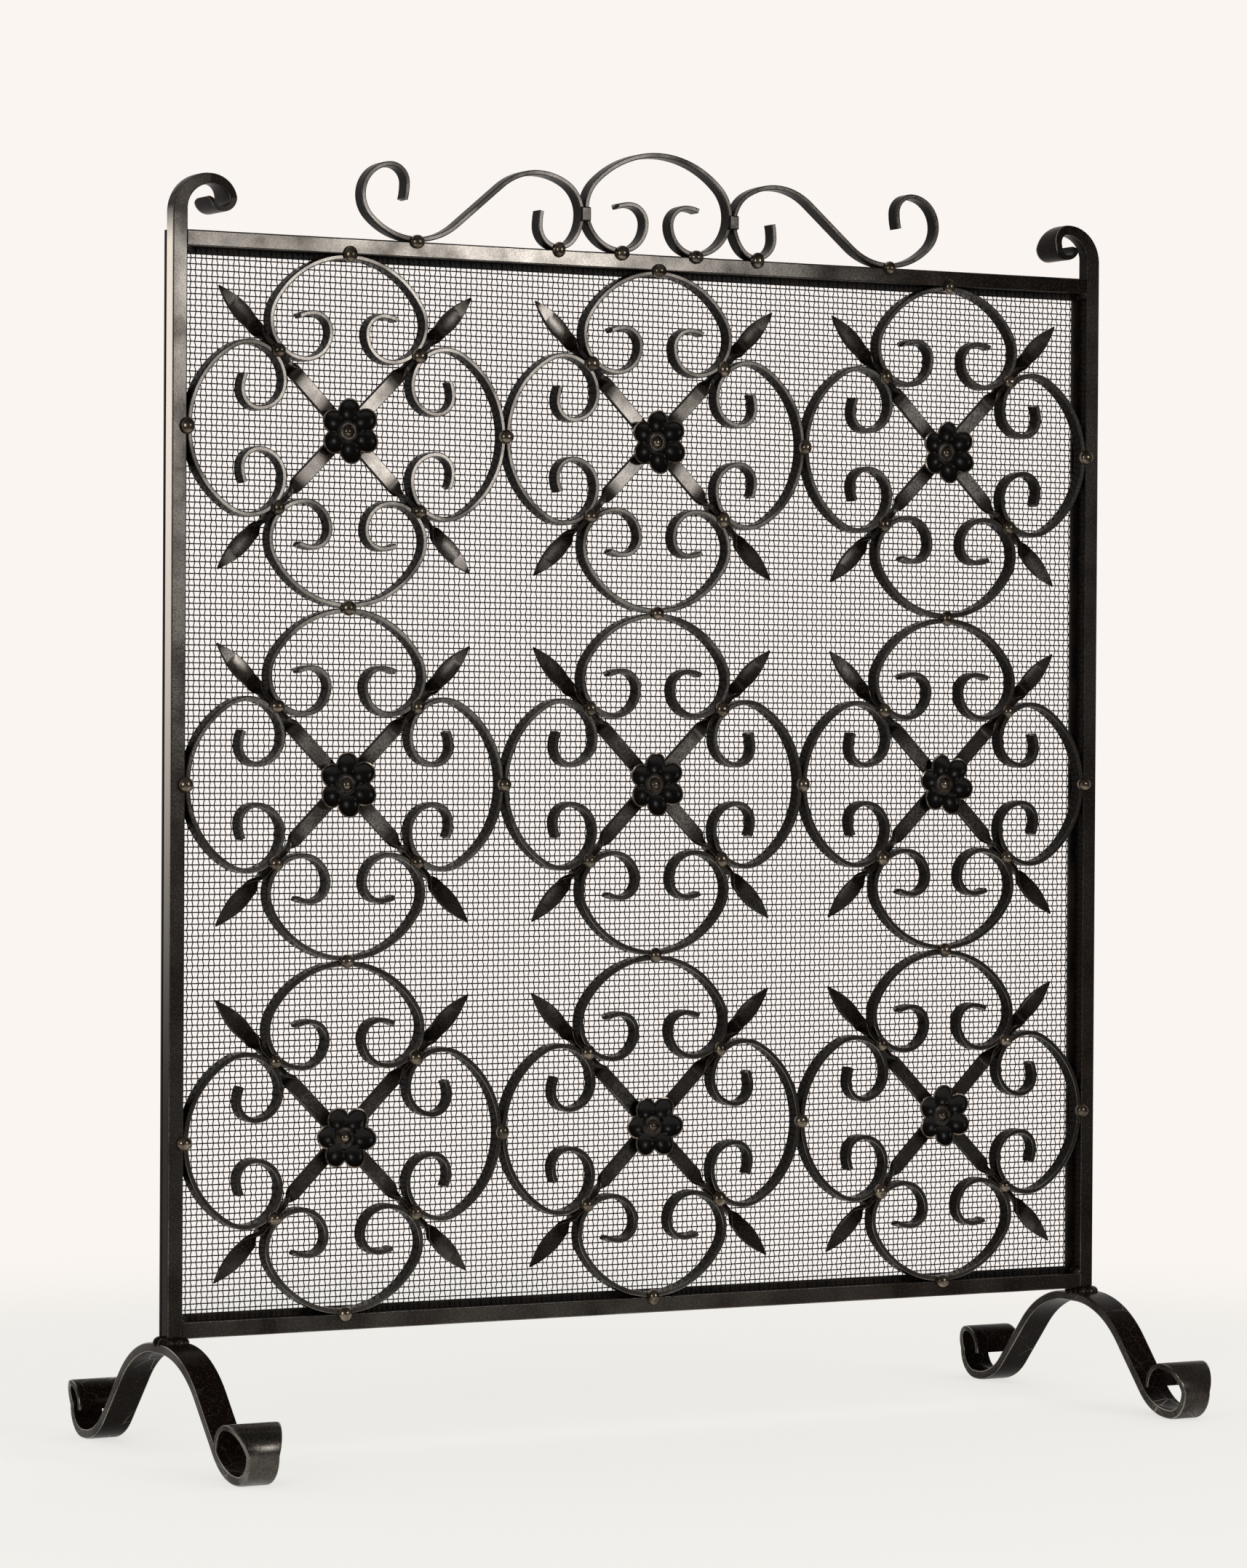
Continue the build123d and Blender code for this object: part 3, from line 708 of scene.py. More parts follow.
def add_piece(name, bm, material, node, crease=BAR_CREASE):
    """Make a finished shape a piece of the screen that stands for its CAD node.

    Flats keep their own shading beside the rounded corners of a bar. Round pieces take a larger crease.
    """
    bmesh.ops.recalc_face_normals(bm, faces=bm.faces[:])
    mesh = bpy.data.meshes.new(name)
    bm.to_mesh(mesh)
    bm.free()
    mesh.shade_smooth()
    mesh.set_sharp_from_angle(angle=math.radians(crease))
    mesh.materials.append(material)
    piece = bpy.data.objects.new(name, mesh)
    bpy.context.scene.collection.objects.link(piece)
    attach(piece, "root")
    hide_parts(node)


def thicken_wax_and_shade(bm, rubbed):
    """Leave only a share of the rubbed, lighter finish on a shape: wear, and the painted highlight with it.
    """
    layer = bm.verts.layers.float["wax"]
    for vert in bm.verts:
        vert[layer] = 1 - rubbed * (1 - vert[layer])


def rub_and_highlight_share(panel, across, down):
    """The share of the rubbed, lighter finish, wear and painted highlight, that is left on a panel."""
    return across ** (panel % COLUMNS) * down ** (panel // COLUMNS)


def panels():
    """The name and centre of each rosette panel, from the top left."""
    for row in range(ROWS):
        for column in range(COLUMNS):
            x = OPENING_LEFT + (column + 0.5) * PITCH_X
            z = OPENING_TOP - (row + 0.5) * PITCH_Z
            yield f"row{row + 1}_col{column + 1}", Vector((x, 0, z))


def bead_shape(radius):
    """A domed bead of weld, a little flattened, half sunk into the bars that it joins."""
    bead = bmesh.new()
    proud = 0.0006
    bmesh.ops.create_uvsphere(bead, u_segments=16, v_segments=10, radius=radius)
    bmesh.ops.scale(bead, vec=(1.0, 0.86, 1.04), verts=bead.verts[:])
    bmesh.ops.translate(bead, vec=(0, -BAR / 2 - proud, 0), verts=bead.verts[:])
    return bead


def set_bead(target, bead, x, z, count):
    """Set a bead on a joint, up to a tenth larger or smaller than the next."""
    wide = 1 + 0.1 * math.sin(WIDE_PACE * count)
    tall = 1 + 0.1 * math.cos(TALL_PACE * count)
    set_in(target, bead, Matrix.Translation((x, 0, z)) @ Matrix.Diagonal((wide, 1, tall, 1)))


def rounded_block(middle, size, edge):
    """A block with rounded edges."""
    block = bmesh.new()
    bmesh.ops.create_cube(block, size=1)
    bmesh.ops.scale(block, vec=size, verts=block.verts[:])
    round_off(block, block.edges[:], edge, "EDGES")
    bmesh.ops.translate(block, vec=middle, verts=block.verts[:])
    return block


class FIRESCREEN_OT_frame(bpy.types.Operator):
    """Forge the posts with their rolled tops, the rails between them and the corner welds"""

    bl_idname = "fire_screen.frame"
    bl_label = "Add Frame"

    def execute(self, context):
        sizes = context.scene.fire_screen.frame
        # The outermost sides of the posts take a pale finish: partly wear, partly painted reflection
        iron = waxed_iron(
            "Waxed forged iron bar", FRONT, flat_wear=0.8, edge_wear=0.6, speckle=0.9, side_wear_and_reflection=1.0
        )
        left = self.forge_post(sizes)
        right = copy_of(left, MIRROR)
        # The right post keeps less of the rubbed, lighter finish: partly wear, partly painted shade
        thicken_wax_and_shade(right, RIGHT_POST_RUB_AND_LIGHT)
        add_piece("post_bar_left", left, iron, "post_left")
        add_piece("post_bar_right", right, iron, "post_right")
        span = OPENING_RIGHT - OPENING_LEFT
        for name, z in (("top", OPENING_TOP), ("bottom", OPENING_BOTTOM - BAR)):
            # The wax along a rail is partly painted light: thin and lighter at the left as painted highlight,
            # thick and darker to the right as painted shade
            first, *others = RAIL_WAX_AND_LIGHT[name]
            rail = BentBar(FRONT_PLANE, (OPENING_LEFT, z + BAR / 2), 0, BAR, BAR, sizes.bar_edge)
            rail.leave_wax(first)
            for share in others:
                rail.run(span / len(others))
                rail.leave_wax(share)
            add_piece(f"rail_bar_{name}", rail.close(), iron, f"rail_{name}")
        lump = bmesh.new()
        bmesh.ops.create_icosphere(lump, subdivisions=3, radius=0.5)
        bmesh.ops.scale(lump, vec=(sizes.corner_weld, BAR, sizes.corner_weld), verts=lump.verts[:])
        welds = bmesh.new()
        for x in (OPENING_LEFT, OPENING_RIGHT):
            for z in (OPENING_TOP, OPENING_BOTTOM):
                set_in(welds, lump, Matrix.Translation((x, 0, z)))
        lump.free()
        add_piece("corner_weld_lumps", welds, waxed_weld(), "corner_welds", ROUND_CREASE)
        return {"FINISHED"}

    def forge_post(self, sizes):
        """The left post: square bar up to the roll, where it is drawn out thin and flared."""
        bends = (
            (sizes.roll_radius, QUARTER, BAR),
            (sizes.fall_radius, QUARTER, sizes.tip_flare),
            (sizes.tuck_radius, QUARTER, sizes.tip_flare),
            (sizes.tip_radius, sizes.tip_turn, sizes.tip_flare),
        )
        total = sum(radius * turn for radius, turn, _ in bends) + sizes.tip_round
        thinning = (BAR - sizes.tip_thickness) / total
        # The wax up a post is partly painted light: thin and lighter at the top rail as painted highlight,
        # thicker and darker below as painted shade
        wax, *others = POST_WAX_AND_LIGHT
        post = BentBar(FRONT_PLANE, (POST_X, POST_FOOT), 90, BAR, BAR, sizes.bar_edge)
        post.leave_wax(wax)
        half = (OPENING_TOP - POST_FOOT) / 2
        for distance, wax in zip((half, half, FRAME_TOP + sizes.post_rise - OPENING_TOP), others):
            post.run(distance)
            post.leave_wax(wax)
        thick = BAR
        for radius, turn, wide in bends:
            thick -= thinning * radius * turn
            post.draw_bend(radius, -turn, wide, thick, (wax, ROLL_WAX))
            wax = ROLL_WAX
        cut_back = 1 - (sizes.tip_width / sizes.tip_flare) ** 2
        for step in range(1, TIP_STEPS + 1):
            wide = sizes.tip_flare * math.sqrt(1 - cut_back * (step / TIP_STEPS) ** 2)
            thick -= thinning * sizes.tip_round / TIP_STEPS
            post.draw_run(sizes.tip_round / TIP_STEPS, wide, thick, 0.0)
        return post.close()


class FIRESCREEN_OT_feet(bpy.types.Operator):
    """Bend the two arched feet with their curled, flared toes, and weld the posts to them"""

    bl_idname = "fire_screen.feet"
    bl_label = "Add Feet"

    def execute(self, context):
        sizes = context.scene.fire_screen.frame
        iron = waxed_iron(
            "Waxed forged iron foot", SIDE, flat_wear=0.12, edge_wear=0.9, speckle=0.9, scratched=0.45
        )
        shape = self.bend_foot(sizes)
        lump = self.weld_run(sizes)
        welds = bmesh.new()
        for name, x in (("left", POST_X), ("right", -POST_X)):
            bar = copy_of(shape, Matrix.Translation((x, 0, 0)))
            # The front of a toe is rubbed all over, not only on its corners
            layer = bar.verts.layers.float["corner"]
            for vert in bar.verts:
                ahead = (-vert.co.y - sizes.toe_rub) / sizes.curl_radius
                vert[layer] = max(vert[layer], TOE_WEAR[name] * min(max(ahead, 0), 1))
            add_piece(f"foot_bar_{name}", bar, iron, f"foot_{name}")
            set_in(welds, lump, Matrix.Translation((x, 0, POST_FOOT)))
        shape.free()
        lump.free()
        add_piece("foot_weld_lumps", welds, waxed_weld(), "foot_welds", ROUND_CREASE)
        return {"FINISHED"}

    def bend_foot(self, sizes):
        """A foot, bent from its crown down to one toe and then to the other."""
        crown = POST_FOOT - sizes.foot_thickness / 2
        drop = (sizes.crown_radius + sizes.ankle_radius) * (1 - math.cos(sizes.slope))
        leg = (crown - sizes.foot_thickness / 2 - drop) / math.sin(sizes.slope)
        toe = sizes.toe_turn * sizes.toe_radius
        thinning = (sizes.foot_thickness - sizes.toe_thickness) / (2 * QUARTER * sizes.curl_radius + toe)
        front_thick = sizes.foot_thickness - thinning * QUARTER * sizes.curl_radius
        top_thick = front_thick - thinning * QUARTER * sizes.curl_radius
        foot = BentBar(SIDE_PLANE, (0, crown), 0, sizes.foot_width, sizes.foot_thickness, sizes.foot_edge)
        for side in (1, -1):
            foot.run(BAR / 2)
            foot.bend(sizes.crown_radius, -side * sizes.slope)
            foot.run(leg)
            foot.bend(sizes.ankle_radius, side * sizes.slope)
            foot.run(sizes.sole)
            foot.draw_bend(sizes.curl_radius, side * QUARTER, sizes.foot_width, front_thick)
            foot.draw_bend(sizes.curl_radius, side * QUARTER, sizes.toe_flare, top_thick)
            foot.draw_bend(sizes.toe_radius, side * sizes.toe_turn, sizes.toe_flare, sizes.toe_thickness)
            foot.restart()
        return foot.close()

    def weld_run(self, sizes):
        """A heavy run of weld round the square end of a post: drops of uneven size that overlap."""
        squareness = 0.12
        unevenness = 0.2
        spread = 1.15
        lift = 0.0002
        run = bmesh.new()
        drop = bmesh.new()
        bmesh.ops.create_icosphere(drop, subdivisions=3, radius=sizes.foot_weld_drop)
        for count in range(WELD_DROPS):
            around = 2 * math.pi * count / WELD_DROPS
            out = sizes.foot_weld_reach * (1 + squareness * math.cos(4 * around + math.pi))
            swell = 1 + unevenness * math.sin(WIDE_PACE * count)
            spot = Vector((out * math.cos(around), out * math.sin(around), lift))
            stretch = Matrix.Diagonal((spread * swell, spread * swell, swell, 1))
            set_in(run, drop, Matrix.Translation(spot) @ stretch)
        drop.free()
        return run


class FIRESCREEN_OT_scrolls(bpy.types.Operator):
    """Bend the four C-scrolls of each rosette"""

    bl_idname = "fire_screen.scrolls"
    bl_label = "Add Scrolls"

    def execute(self, context):
        sizes = context.scene.fire_screen.rosette
        iron = waxed_iron("Waxed scroll strip", FRONT, flat_wear=0.5, edge_wear=0.8, speckle=0.3)
        rosette = bmesh.new()
        for count, pitch in enumerate((PITCH_Z, PITCH_X, PITCH_Z, PITCH_X)):
            shape = self.bend_scroll(sizes, pitch / 2)
            set_in(rosette, shape, Matrix.Rotation(count * QUARTER, 4, "Y"))
            shape.free()
        for panel, (name, centre) in enumerate(panels()):
            piece = copy_of(rosette, Matrix.Translation(centre))
            # Panels further right and down keep less of the rubbed, lighter finish: partly wear, partly
            # painted shade
            thicken_wax_and_shade(piece, max(rub_and_highlight_share(panel, *SCROLL_RUB_AND_LIGHT), LEAST_SCROLL_RUB_AND_LIGHT))
            add_piece(f"c_scrolls_{name}", piece, iron, f"scrolls_{name}")
        rosette.free()
        return {"FINISHED"}

    def bend_scroll(self, sizes, reach):
        """A C-scroll whose back lies on the edge of its panel, and whose shoulders bear on the cross bars."""
        back_turn = math.radians(60)
        shoulder_turn = math.radians(120)
        # The heading at which a shoulder lies along a cross bar
        bearing = math.radians(135)
        back_line = reach - sizes.strip_thickness / 2
        back_share = 1 - math.cos(back_turn) + math.sin(back_turn)
        shoulder_share = math.cos(back_turn) - math.cos(bearing) + math.sin(bearing) - math.sin(back_turn)
        joint = (sizes.strip_thickness + sizes.cross_thickness) / math.sqrt(2)
        spare = back_line - joint - sizes.shoulder_radius * shoulder_share
        section = (sizes.strip_depth, sizes.strip_thickness, sizes.strip_edge)
        scroll = BentBar(FRONT_PLANE, (0, back_line), 0, *section)
        for side in (-1, 1):
            scroll.bend(spare / back_share, side * back_turn)
            scroll.bend(sizes.shoulder_radius, side * shoulder_turn)
            scroll.bend(sizes.curl_radius, side * QUARTER)
            scroll.bend(sizes.curl_tip_radius, side * QUARTER)
            scroll.bend(sizes.curl_end_radius, side * sizes.curl_end_turn)
            scroll.restart()
        return scroll.close()


class FIRESCREEN_OT_cross_bars(bpy.types.Operator):
    """Twist the diagonal bars of each rosette and draw their ends out to leaves"""

    bl_idname = "fire_screen.cross_bars"
    bl_label = "Add Cross Bars"

    def execute(self, context):
        sizes = context.scene.fire_screen.rosette
        iron = waxed_iron("Waxed twisted flat bar", FRONT, flat_wear=0.95, edge_wear=0.35, speckle=0.8)
        # A bar starts flat to the front, so its width lies in the plane and its thickness across it
        section = (sizes.cross_thickness, sizes.cross_width, sizes.cross_edge)
        pair = bmesh.new()
        for lean, arms in ARM_WEAR_AND_LIGHT.items():
            bar = BentBar(FRONT_PLANE, (0, 0), lean, *section)
            for most, least, shine in arms:
                self.draw_flat(bar, sizes, most, least)
                self.twist(bar, sizes, QUARTER)
                bar.leave_wax(1.0)
                bar.run(2 * sizes.twist_clear)
                self.twist(bar, sizes, -QUARTER)
                self.draw_leaf(bar, sizes, shine)
                bar.restart()
            shape = bar.close()
            set_in(pair, shape)
            shape.free()
        for panel, (name, centre) in enumerate(panels()):
            # Every second pair is set the other way up, so their wear differs
            turned = Matrix.Rotation(math.pi * (panel % 2), 4, "Y")
            piece = copy_of(pair, Matrix.Translation(centre) @ turned)
            # Panels further right and down keep less of the rubbed, lighter finish: partly wear, partly
            # painted shade
            thicken_wax_and_shade(piece, rub_and_highlight_share(panel, *CROSS_BAR_RUB_AND_LIGHT))
            add_piece(f"leaf_bars_{name}", piece, iron, f"cross_bars_{name}")
        pair.free()
        return {"FINISHED"}

    def draw_flat(self, bar, sizes, most, least):
        """Run a bar from under the flower to its first twist, with the least wax half way along."""
        flat = sizes.joint_reach * math.sqrt(2) - sizes.twist_clear - sizes.twist_length
        bar.leave_wax(1.0)
        # Thick wax beside the flower darkens the flat there: on the second arm of each bar, a painted shadow
        # of the flower
        for share, wax in ((0.4, most), (0.05, most), (0.2, least), (0.2, least), (0.15, TWIST_WAX)):
            bar.run(share * flat)
            bar.leave_wax(wax)

    def twist(self, bar, sizes, turn):
        """Twist a bar over a short length, gently at both ends."""
        turned = 0.0
        for step in range(1, TWIST_STEPS + 1):
            now = turn * (1 - math.cos(math.pi * step / TWIST_STEPS)) / 2
            bar.draw_run(sizes.twist_length / TWIST_STEPS, *bar.section(), now - turned)
            turned = now

    def draw_leaf(self, bar, sizes, shine):
        """Draw the end of a bar out to a leaf that swells and then narrows to a point."""
        wide, thick = sizes.cross_width, sizes.cross_thickness
        for step in range(1, LEAF_STEPS + 1):
            share = step / LEAF_STEPS
            if share <= LEAF_BELLY:
                breadth = wide + (sizes.leaf_width - wide) * math.sin(share / LEAF_BELLY * QUARTER)
            else:
                past = (share - LEAF_BELLY) / (1 - LEAF_BELLY)
                breadth = sizes.leaf_width * math.cos(past * QUARTER) ** 0.9
            depth = min(thick + (sizes.leaf_thickness - thick) * share, breadth + POINT_DEPTH)
            bar.draw_run(sizes.leaf_length / LEAF_STEPS, depth, max(breadth, POINT_WIDTH), 0.0)
            bar.leave_wax(1 - shine * math.sin(math.pi * share))


class FIRESCREEN_OT_flowers(bpy.types.Operator):
    """Raise the six-petalled flowers and set their rivets"""

    bl_idname = "fire_screen.flowers"
    bl_label = "Add Flowers"

    def execute(self, context):
        sizes = context.scene.fire_screen.rosette
        sheet = blackened_sheet()
        seat = -sizes.cross_thickness / 2
        flower = self.petal_sheet(sizes, seat)
        hub = self.hub_dome(sizes, seat)
        set_in(flower, hub)
        hub.free()
        rivet = self.rivet_head(sizes, seat)
        rivets = bmesh.new()
        for name, centre in panels():
            place = Matrix.Translation(centre)
            turned = Matrix.Rotation(math.radians(FLOWER_TURNS.get(name, USUAL_TURN)), 4, FRONT)
            piece = copy_of(flower, place @ turned)
            add_piece(f"petals_{name}", piece, sheet, f"flower_{name}", PETAL_CREASE)
            set_in(rivets, rivet, place)
        flower.free()
        rivet.free()
        add_piece("rivet_heads", rivets, weld_metal(), "flower_rivets", ROUND_CREASE)
        return {"FINISHED"}

    def petal_sheet(self, sizes, seat):
        """The pressed sheet of a flower: six cups, open to the front, that meet in soft ridges."""
        middle = (0, 0, 0)
        petal = bmesh.new()
        bmesh.ops.create_uvsphere(petal, u_segments=24, v_segments=16, radius=1)
        self.cut(petal, middle, FRONT)
        cup = (sizes.petal_width / 2, sizes.petal_depth, sizes.petal_length / 2)
        bmesh.ops.scale(petal, vec=cup, verts=petal.verts[:])
        lean = Matrix.Rotation(sizes.petal_lean, 3, "X")
        bmesh.ops.rotate(petal, cent=middle, matrix=lean, verts=petal.verts[:])
        bmesh.ops.translate(petal, vec=(0, seat - sizes.petal_depth, sizes.petal_reach), verts=petal.verts[:])
        corner = petal.verts.layers.float.new("corner")
        for edge in petal.edges:
            if edge.is_boundary:
                for vert in edge.verts:
                    vert[corner] = 1.0
        # Each cup is cut where it meets its neighbours, and a little inside the rim of the hub
        half = math.pi / PETALS
        for side in (1, -1):
            self.cut(petal, middle, (side * math.cos(half), 0, -math.sin(half)))
        self.cut(petal, (0, 0, 0.75 * sizes.hub_radius), (0, 0, -1))
        sheet = bmesh.new()
        for turn in range(PETALS):
            set_in(sheet, petal, Matrix.Rotation(2 * half * turn, 4, "Y"))
        petal.free()
        # Where vertices are merged, the more rubbed value counts, so their order doesn't matter
        doubles = bmesh.ops.find_doubles(sheet, verts=sheet.verts[:], dist=0.00005)["targetmap"]
        corner = sheet.verts.layers.float["corner"]
        for vert, kept in doubles.items():
            kept[corner] = max(kept[corner], vert[corner])
        bmesh.ops.weld_verts(sheet, targetmap=doubles)
        ridges = [vert for vert in sheet.verts if not vert.is_boundary]
        for _ in range(2):
            bmesh.ops.smooth_vert(
                sheet, verts=ridges, factor=0.5, use_axis_x=True, use_axis_y=True, use_axis_z=True
            )
        bmesh.ops.recalc_face_normals(sheet, faces=sheet.faces[:])
        bmesh.ops.solidify(sheet, geom=sheet.faces[:], thickness=sizes.petal_wall)
        return sheet

    def cut(self, bm, through, away):
        """Cut off the part of a sheet that lies on one side of a plane."""
        bmesh.ops.bisect_plane(
            bm,
            geom=[*bm.verts, *bm.edges, *bm.faces],
            plane_co=through,
            plane_no=away,
            clear_outer=True,
        )

    def hub_dome(self, sizes, seat):
        """The raised middle of a flower: a low dome with a groove sunk round the rivet."""
        hub = bmesh.new()
        groove, rim = sizes.groove_radius, sizes.hub_radius
        lip = 0.0004
        brow = 0.0012
        # Points from the middle out and back underneath: a radius, and a share of the hub's height
        outline = [
            (0, 0.75),
            (groove - lip, 0.75),
            (groove, 0.5),
            (groove + lip, 0.9),
            (groove + brow, 0.92),
            (0.72 * rim, 0.8),
            (0.86 * rim, 0.5),
            (rim, 0.05),
            (0, 0.05),
        ]
        points = [hub.verts.new((radius, seat - share * sizes.hub_height, 0)) for radius, share in outline]
        edges = [hub.edges.new(pair) for pair in zip(points, points[1:])]
        bmesh.ops.spin(
            hub,
            geom=[*points, *edges],
            cent=(0, 0, 0),
            axis=(0, 1, 0),
            angle=2 * math.pi,
            steps=30,
            use_merge=True,
        )
        bmesh.ops.remove_doubles(hub, verts=hub.verts[:], dist=0.00001)
        # The dome is rubbed most in the middle
        rubbed = hub.verts.layers.float.new("corner")
        for vert in hub.verts:
            vert[rubbed] = 0.6 * (1 - math.hypot(vert.co.x, vert.co.z) / rim)
        return hub

    def rivet_head(self, sizes, seat):
        """The flattened round head of a rivet, sunk into the hub."""
        flattening = 0.72
        sunk = seat - 0.8 * sizes.hub_height
        rivet = bmesh.new()
        bmesh.ops.create_uvsphere(rivet, u_segments=20, v_segments=12, radius=sizes.rivet_radius)
        bmesh.ops.scale(rivet, vec=(1, flattening, 1), verts=rivet.verts[:])
        bmesh.ops.translate(rivet, vec=(0, sunk, 0), verts=rivet.verts[:])
        return rivet


class FIRESCREEN_OT_beads(bpy.types.Operator):
    """Set a bead of weld on every joint of the scrolls"""

    bl_idname = "fire_screen.beads"
    bl_label = "Add Weld Beads"

    def execute(self, context):
        sizes = context.scene.fire_screen.rosette
        bead = bead_shape(sizes.bead_radius)
        backs = bmesh.new()
        for row in range(ROWS + 1):
            for column in range(COLUMNS):
                x = OPENING_LEFT + (column + 0.5) * PITCH_X
                set_bead(backs, bead, x, OPENING_TOP - row * PITCH_Z, COLUMNS * row + column)
        for row in range(ROWS):
            for column in range(COLUMNS + 1):
                z = OPENING_TOP - (row + 0.5) * PITCH_Z
                set_bead(backs, bead, OPENING_LEFT + column * PITCH_X, z, COLUMNS * row + column)
        joints = bmesh.new()
        for panel, (_, centre) in enumerate(panels()):
            for side in (-1, 1):
                for level in (-1, 1):
                    x = centre.x + side * sizes.joint_reach
                    z = centre.z + level * sizes.joint_reach
                    set_bead(joints, bead, x, z, 4 * panel + 2 * side + level)
        bead.free()
        add_piece("panel_beads", backs, weld_metal(), "panel_welds", ROUND_CREASE)
        add_piece("joint_beads", joints, weld_metal(), "scroll_joint_welds", ROUND_CREASE)
        return {"FINISHED"}


class FIRESCREEN_OT_crest(bpy.types.Operator):
    """Bend the three crest scrolls, and set their collars and beads"""

    bl_idname = "fire_screen.crest"
    bl_label = "Add Crest"

    def execute(self, context):
        sizes = context.scene.fire_screen.crest
        strip = context.scene.fire_screen.rosette
        iron = waxed_iron("Waxed crest strip", FRONT, flat_wear=0.3, edge_wear=0.8, speckle=0.3)
        section = (strip.strip_depth, strip.strip_thickness, strip.strip_edge)
        rest = FRAME_TOP + strip.strip_thickness / 2
        arch, arch_side, arch_foot = self.bend_arch(sizes, section, rest)
        add_piece("crest_arch", arch, iron, "crest_scroll_middle")
        wave_side = -arch_side - strip.strip_thickness
        left, start, touch, heel = self.bend_wave(sizes, section, wave_side, rest)
        right = copy_of(left, MIRROR)
        add_piece("crest_wave_left", left, iron, "crest_scroll_left")
        add_piece("crest_wave_right", right, iron, "crest_scroll_right")
        overlap = 0.0005
        size = (sizes.collar_width, sizes.collar_depth + 2 * overlap, sizes.collar_height)
        depth = -BAR / 2 - sizes.collar_depth / 2 + overlap
        bead = bead_shape(strip.bead_radius)
        collars = bmesh.new()
        beads = bmesh.new()
        for side in (-1, 1):
            middle = (side * (arch_side + strip.strip_thickness / 2), depth, touch)
            block = rounded_block(middle, size, 0.0008)
            set_in(collars, block)
            block.free()
            for count, foot in enumerate((start, heel, -arch_foot)):
                set_bead(beads, bead, side * foot, FRAME_TOP, count + side)
        bead.free()
        add_piece("crest_blocks", collars, iron, "crest_collars")
        add_piece("crest_beads", beads, weld_metal(), "crest_welds", ROUND_CREASE)
        return {"FINISHED"}

    def bend_arch(self, sizes, section, rest):
        """The middle scroll, with how far its sides and its feet stand from the middle."""
        top = rest + sizes.arch_radius * (1 - math.cos(EIGHTH))
        top += sizes.arch_shoulder_radius * (1 + math.cos(EIGHTH))
        arch = BentBar(FRONT_PLANE, (0, top), 0, *section)
        for side in (-1, 1):
            arch.bend(sizes.arch_radius, side * EIGHTH)
            arch.bend(sizes.arch_shoulder_radius, side * EIGHTH)
            arch_side, _ = arch.spot()
            arch.bend(sizes.arch_shoulder_radius, side * QUARTER)
            arch_foot, _ = arch.spot()
            arch.bend(sizes.arch_curl_radius, side * QUARTER)
            arch.bend(sizes.arch_tip_radius, side * QUARTER)
            arch.bend(sizes.arch_end_radius, side * sizes.arch_end_turn)
            arch.restart()
        return arch.close(), abs(arch_side), abs(arch_foot)

    def bend_wave(self, sizes, section, wave_side, rest):
        """The left outer scroll, with where it rests, how high it touches the arch, and where its heel is."""
        slope, fall, side_turn = sizes.sweep_slope, sizes.hump_fall, sizes.hump_side_turn
        rise = (sizes.sweep_radius + sizes.hump_radius) * (1 - math.cos(slope))
        drop = sizes.hump_radius * (1 - math.cos(fall)) + sizes.hump_shoulder_radius * math.cos(fall)
        drop += sizes.hump_side_radius * math.sin(side_turn)
        drop += sizes.hump_heel_radius * (1 - math.sin(side_turn))
        climb = (drop - rise) / math.sin(slope)
        reach = (sizes.sweep_radius + sizes.hump_radius) * math.sin(slope) + climb * math.cos(slope)
        reach += sizes.hump_radius * math.sin(fall) + sizes.hump_shoulder_radius * (1 - math.sin(fall))
        start = wave_side - reach
        wave = BentBar(FRONT_PLANE, (start, rest), 0, *section)
        wave.bend(sizes.sweep_radius, slope)
        wave.run(climb)
        wave.bend(sizes.hump_radius, -slope - fall)
        wave.bend(sizes.hump_shoulder_radius, fall - QUARTER)
        _, touch = wave.spot()
        wave.bend(sizes.hump_side_radius, -side_turn)
        wave.bend(sizes.hump_heel_radius, side_turn - QUARTER)
        heel, _ = wave.spot()
        wave.bend(sizes.hump_curl_radius, -QUARTER)
        wave.bend(sizes.hump_end_radius, -sizes.hump_end_turn)
        wave.restart()
        wave.bend(sizes.sweep_radius, -EIGHTH)
        wave.bend(sizes.outer_shoulder_radius, -QUARTER - EIGHTH)
        wave.bend(sizes.outer_tip_radius, -QUARTER)
        wave.bend(sizes.outer_end_radius, -sizes.outer_end_turn)
        return wave.close(), start, touch, heel


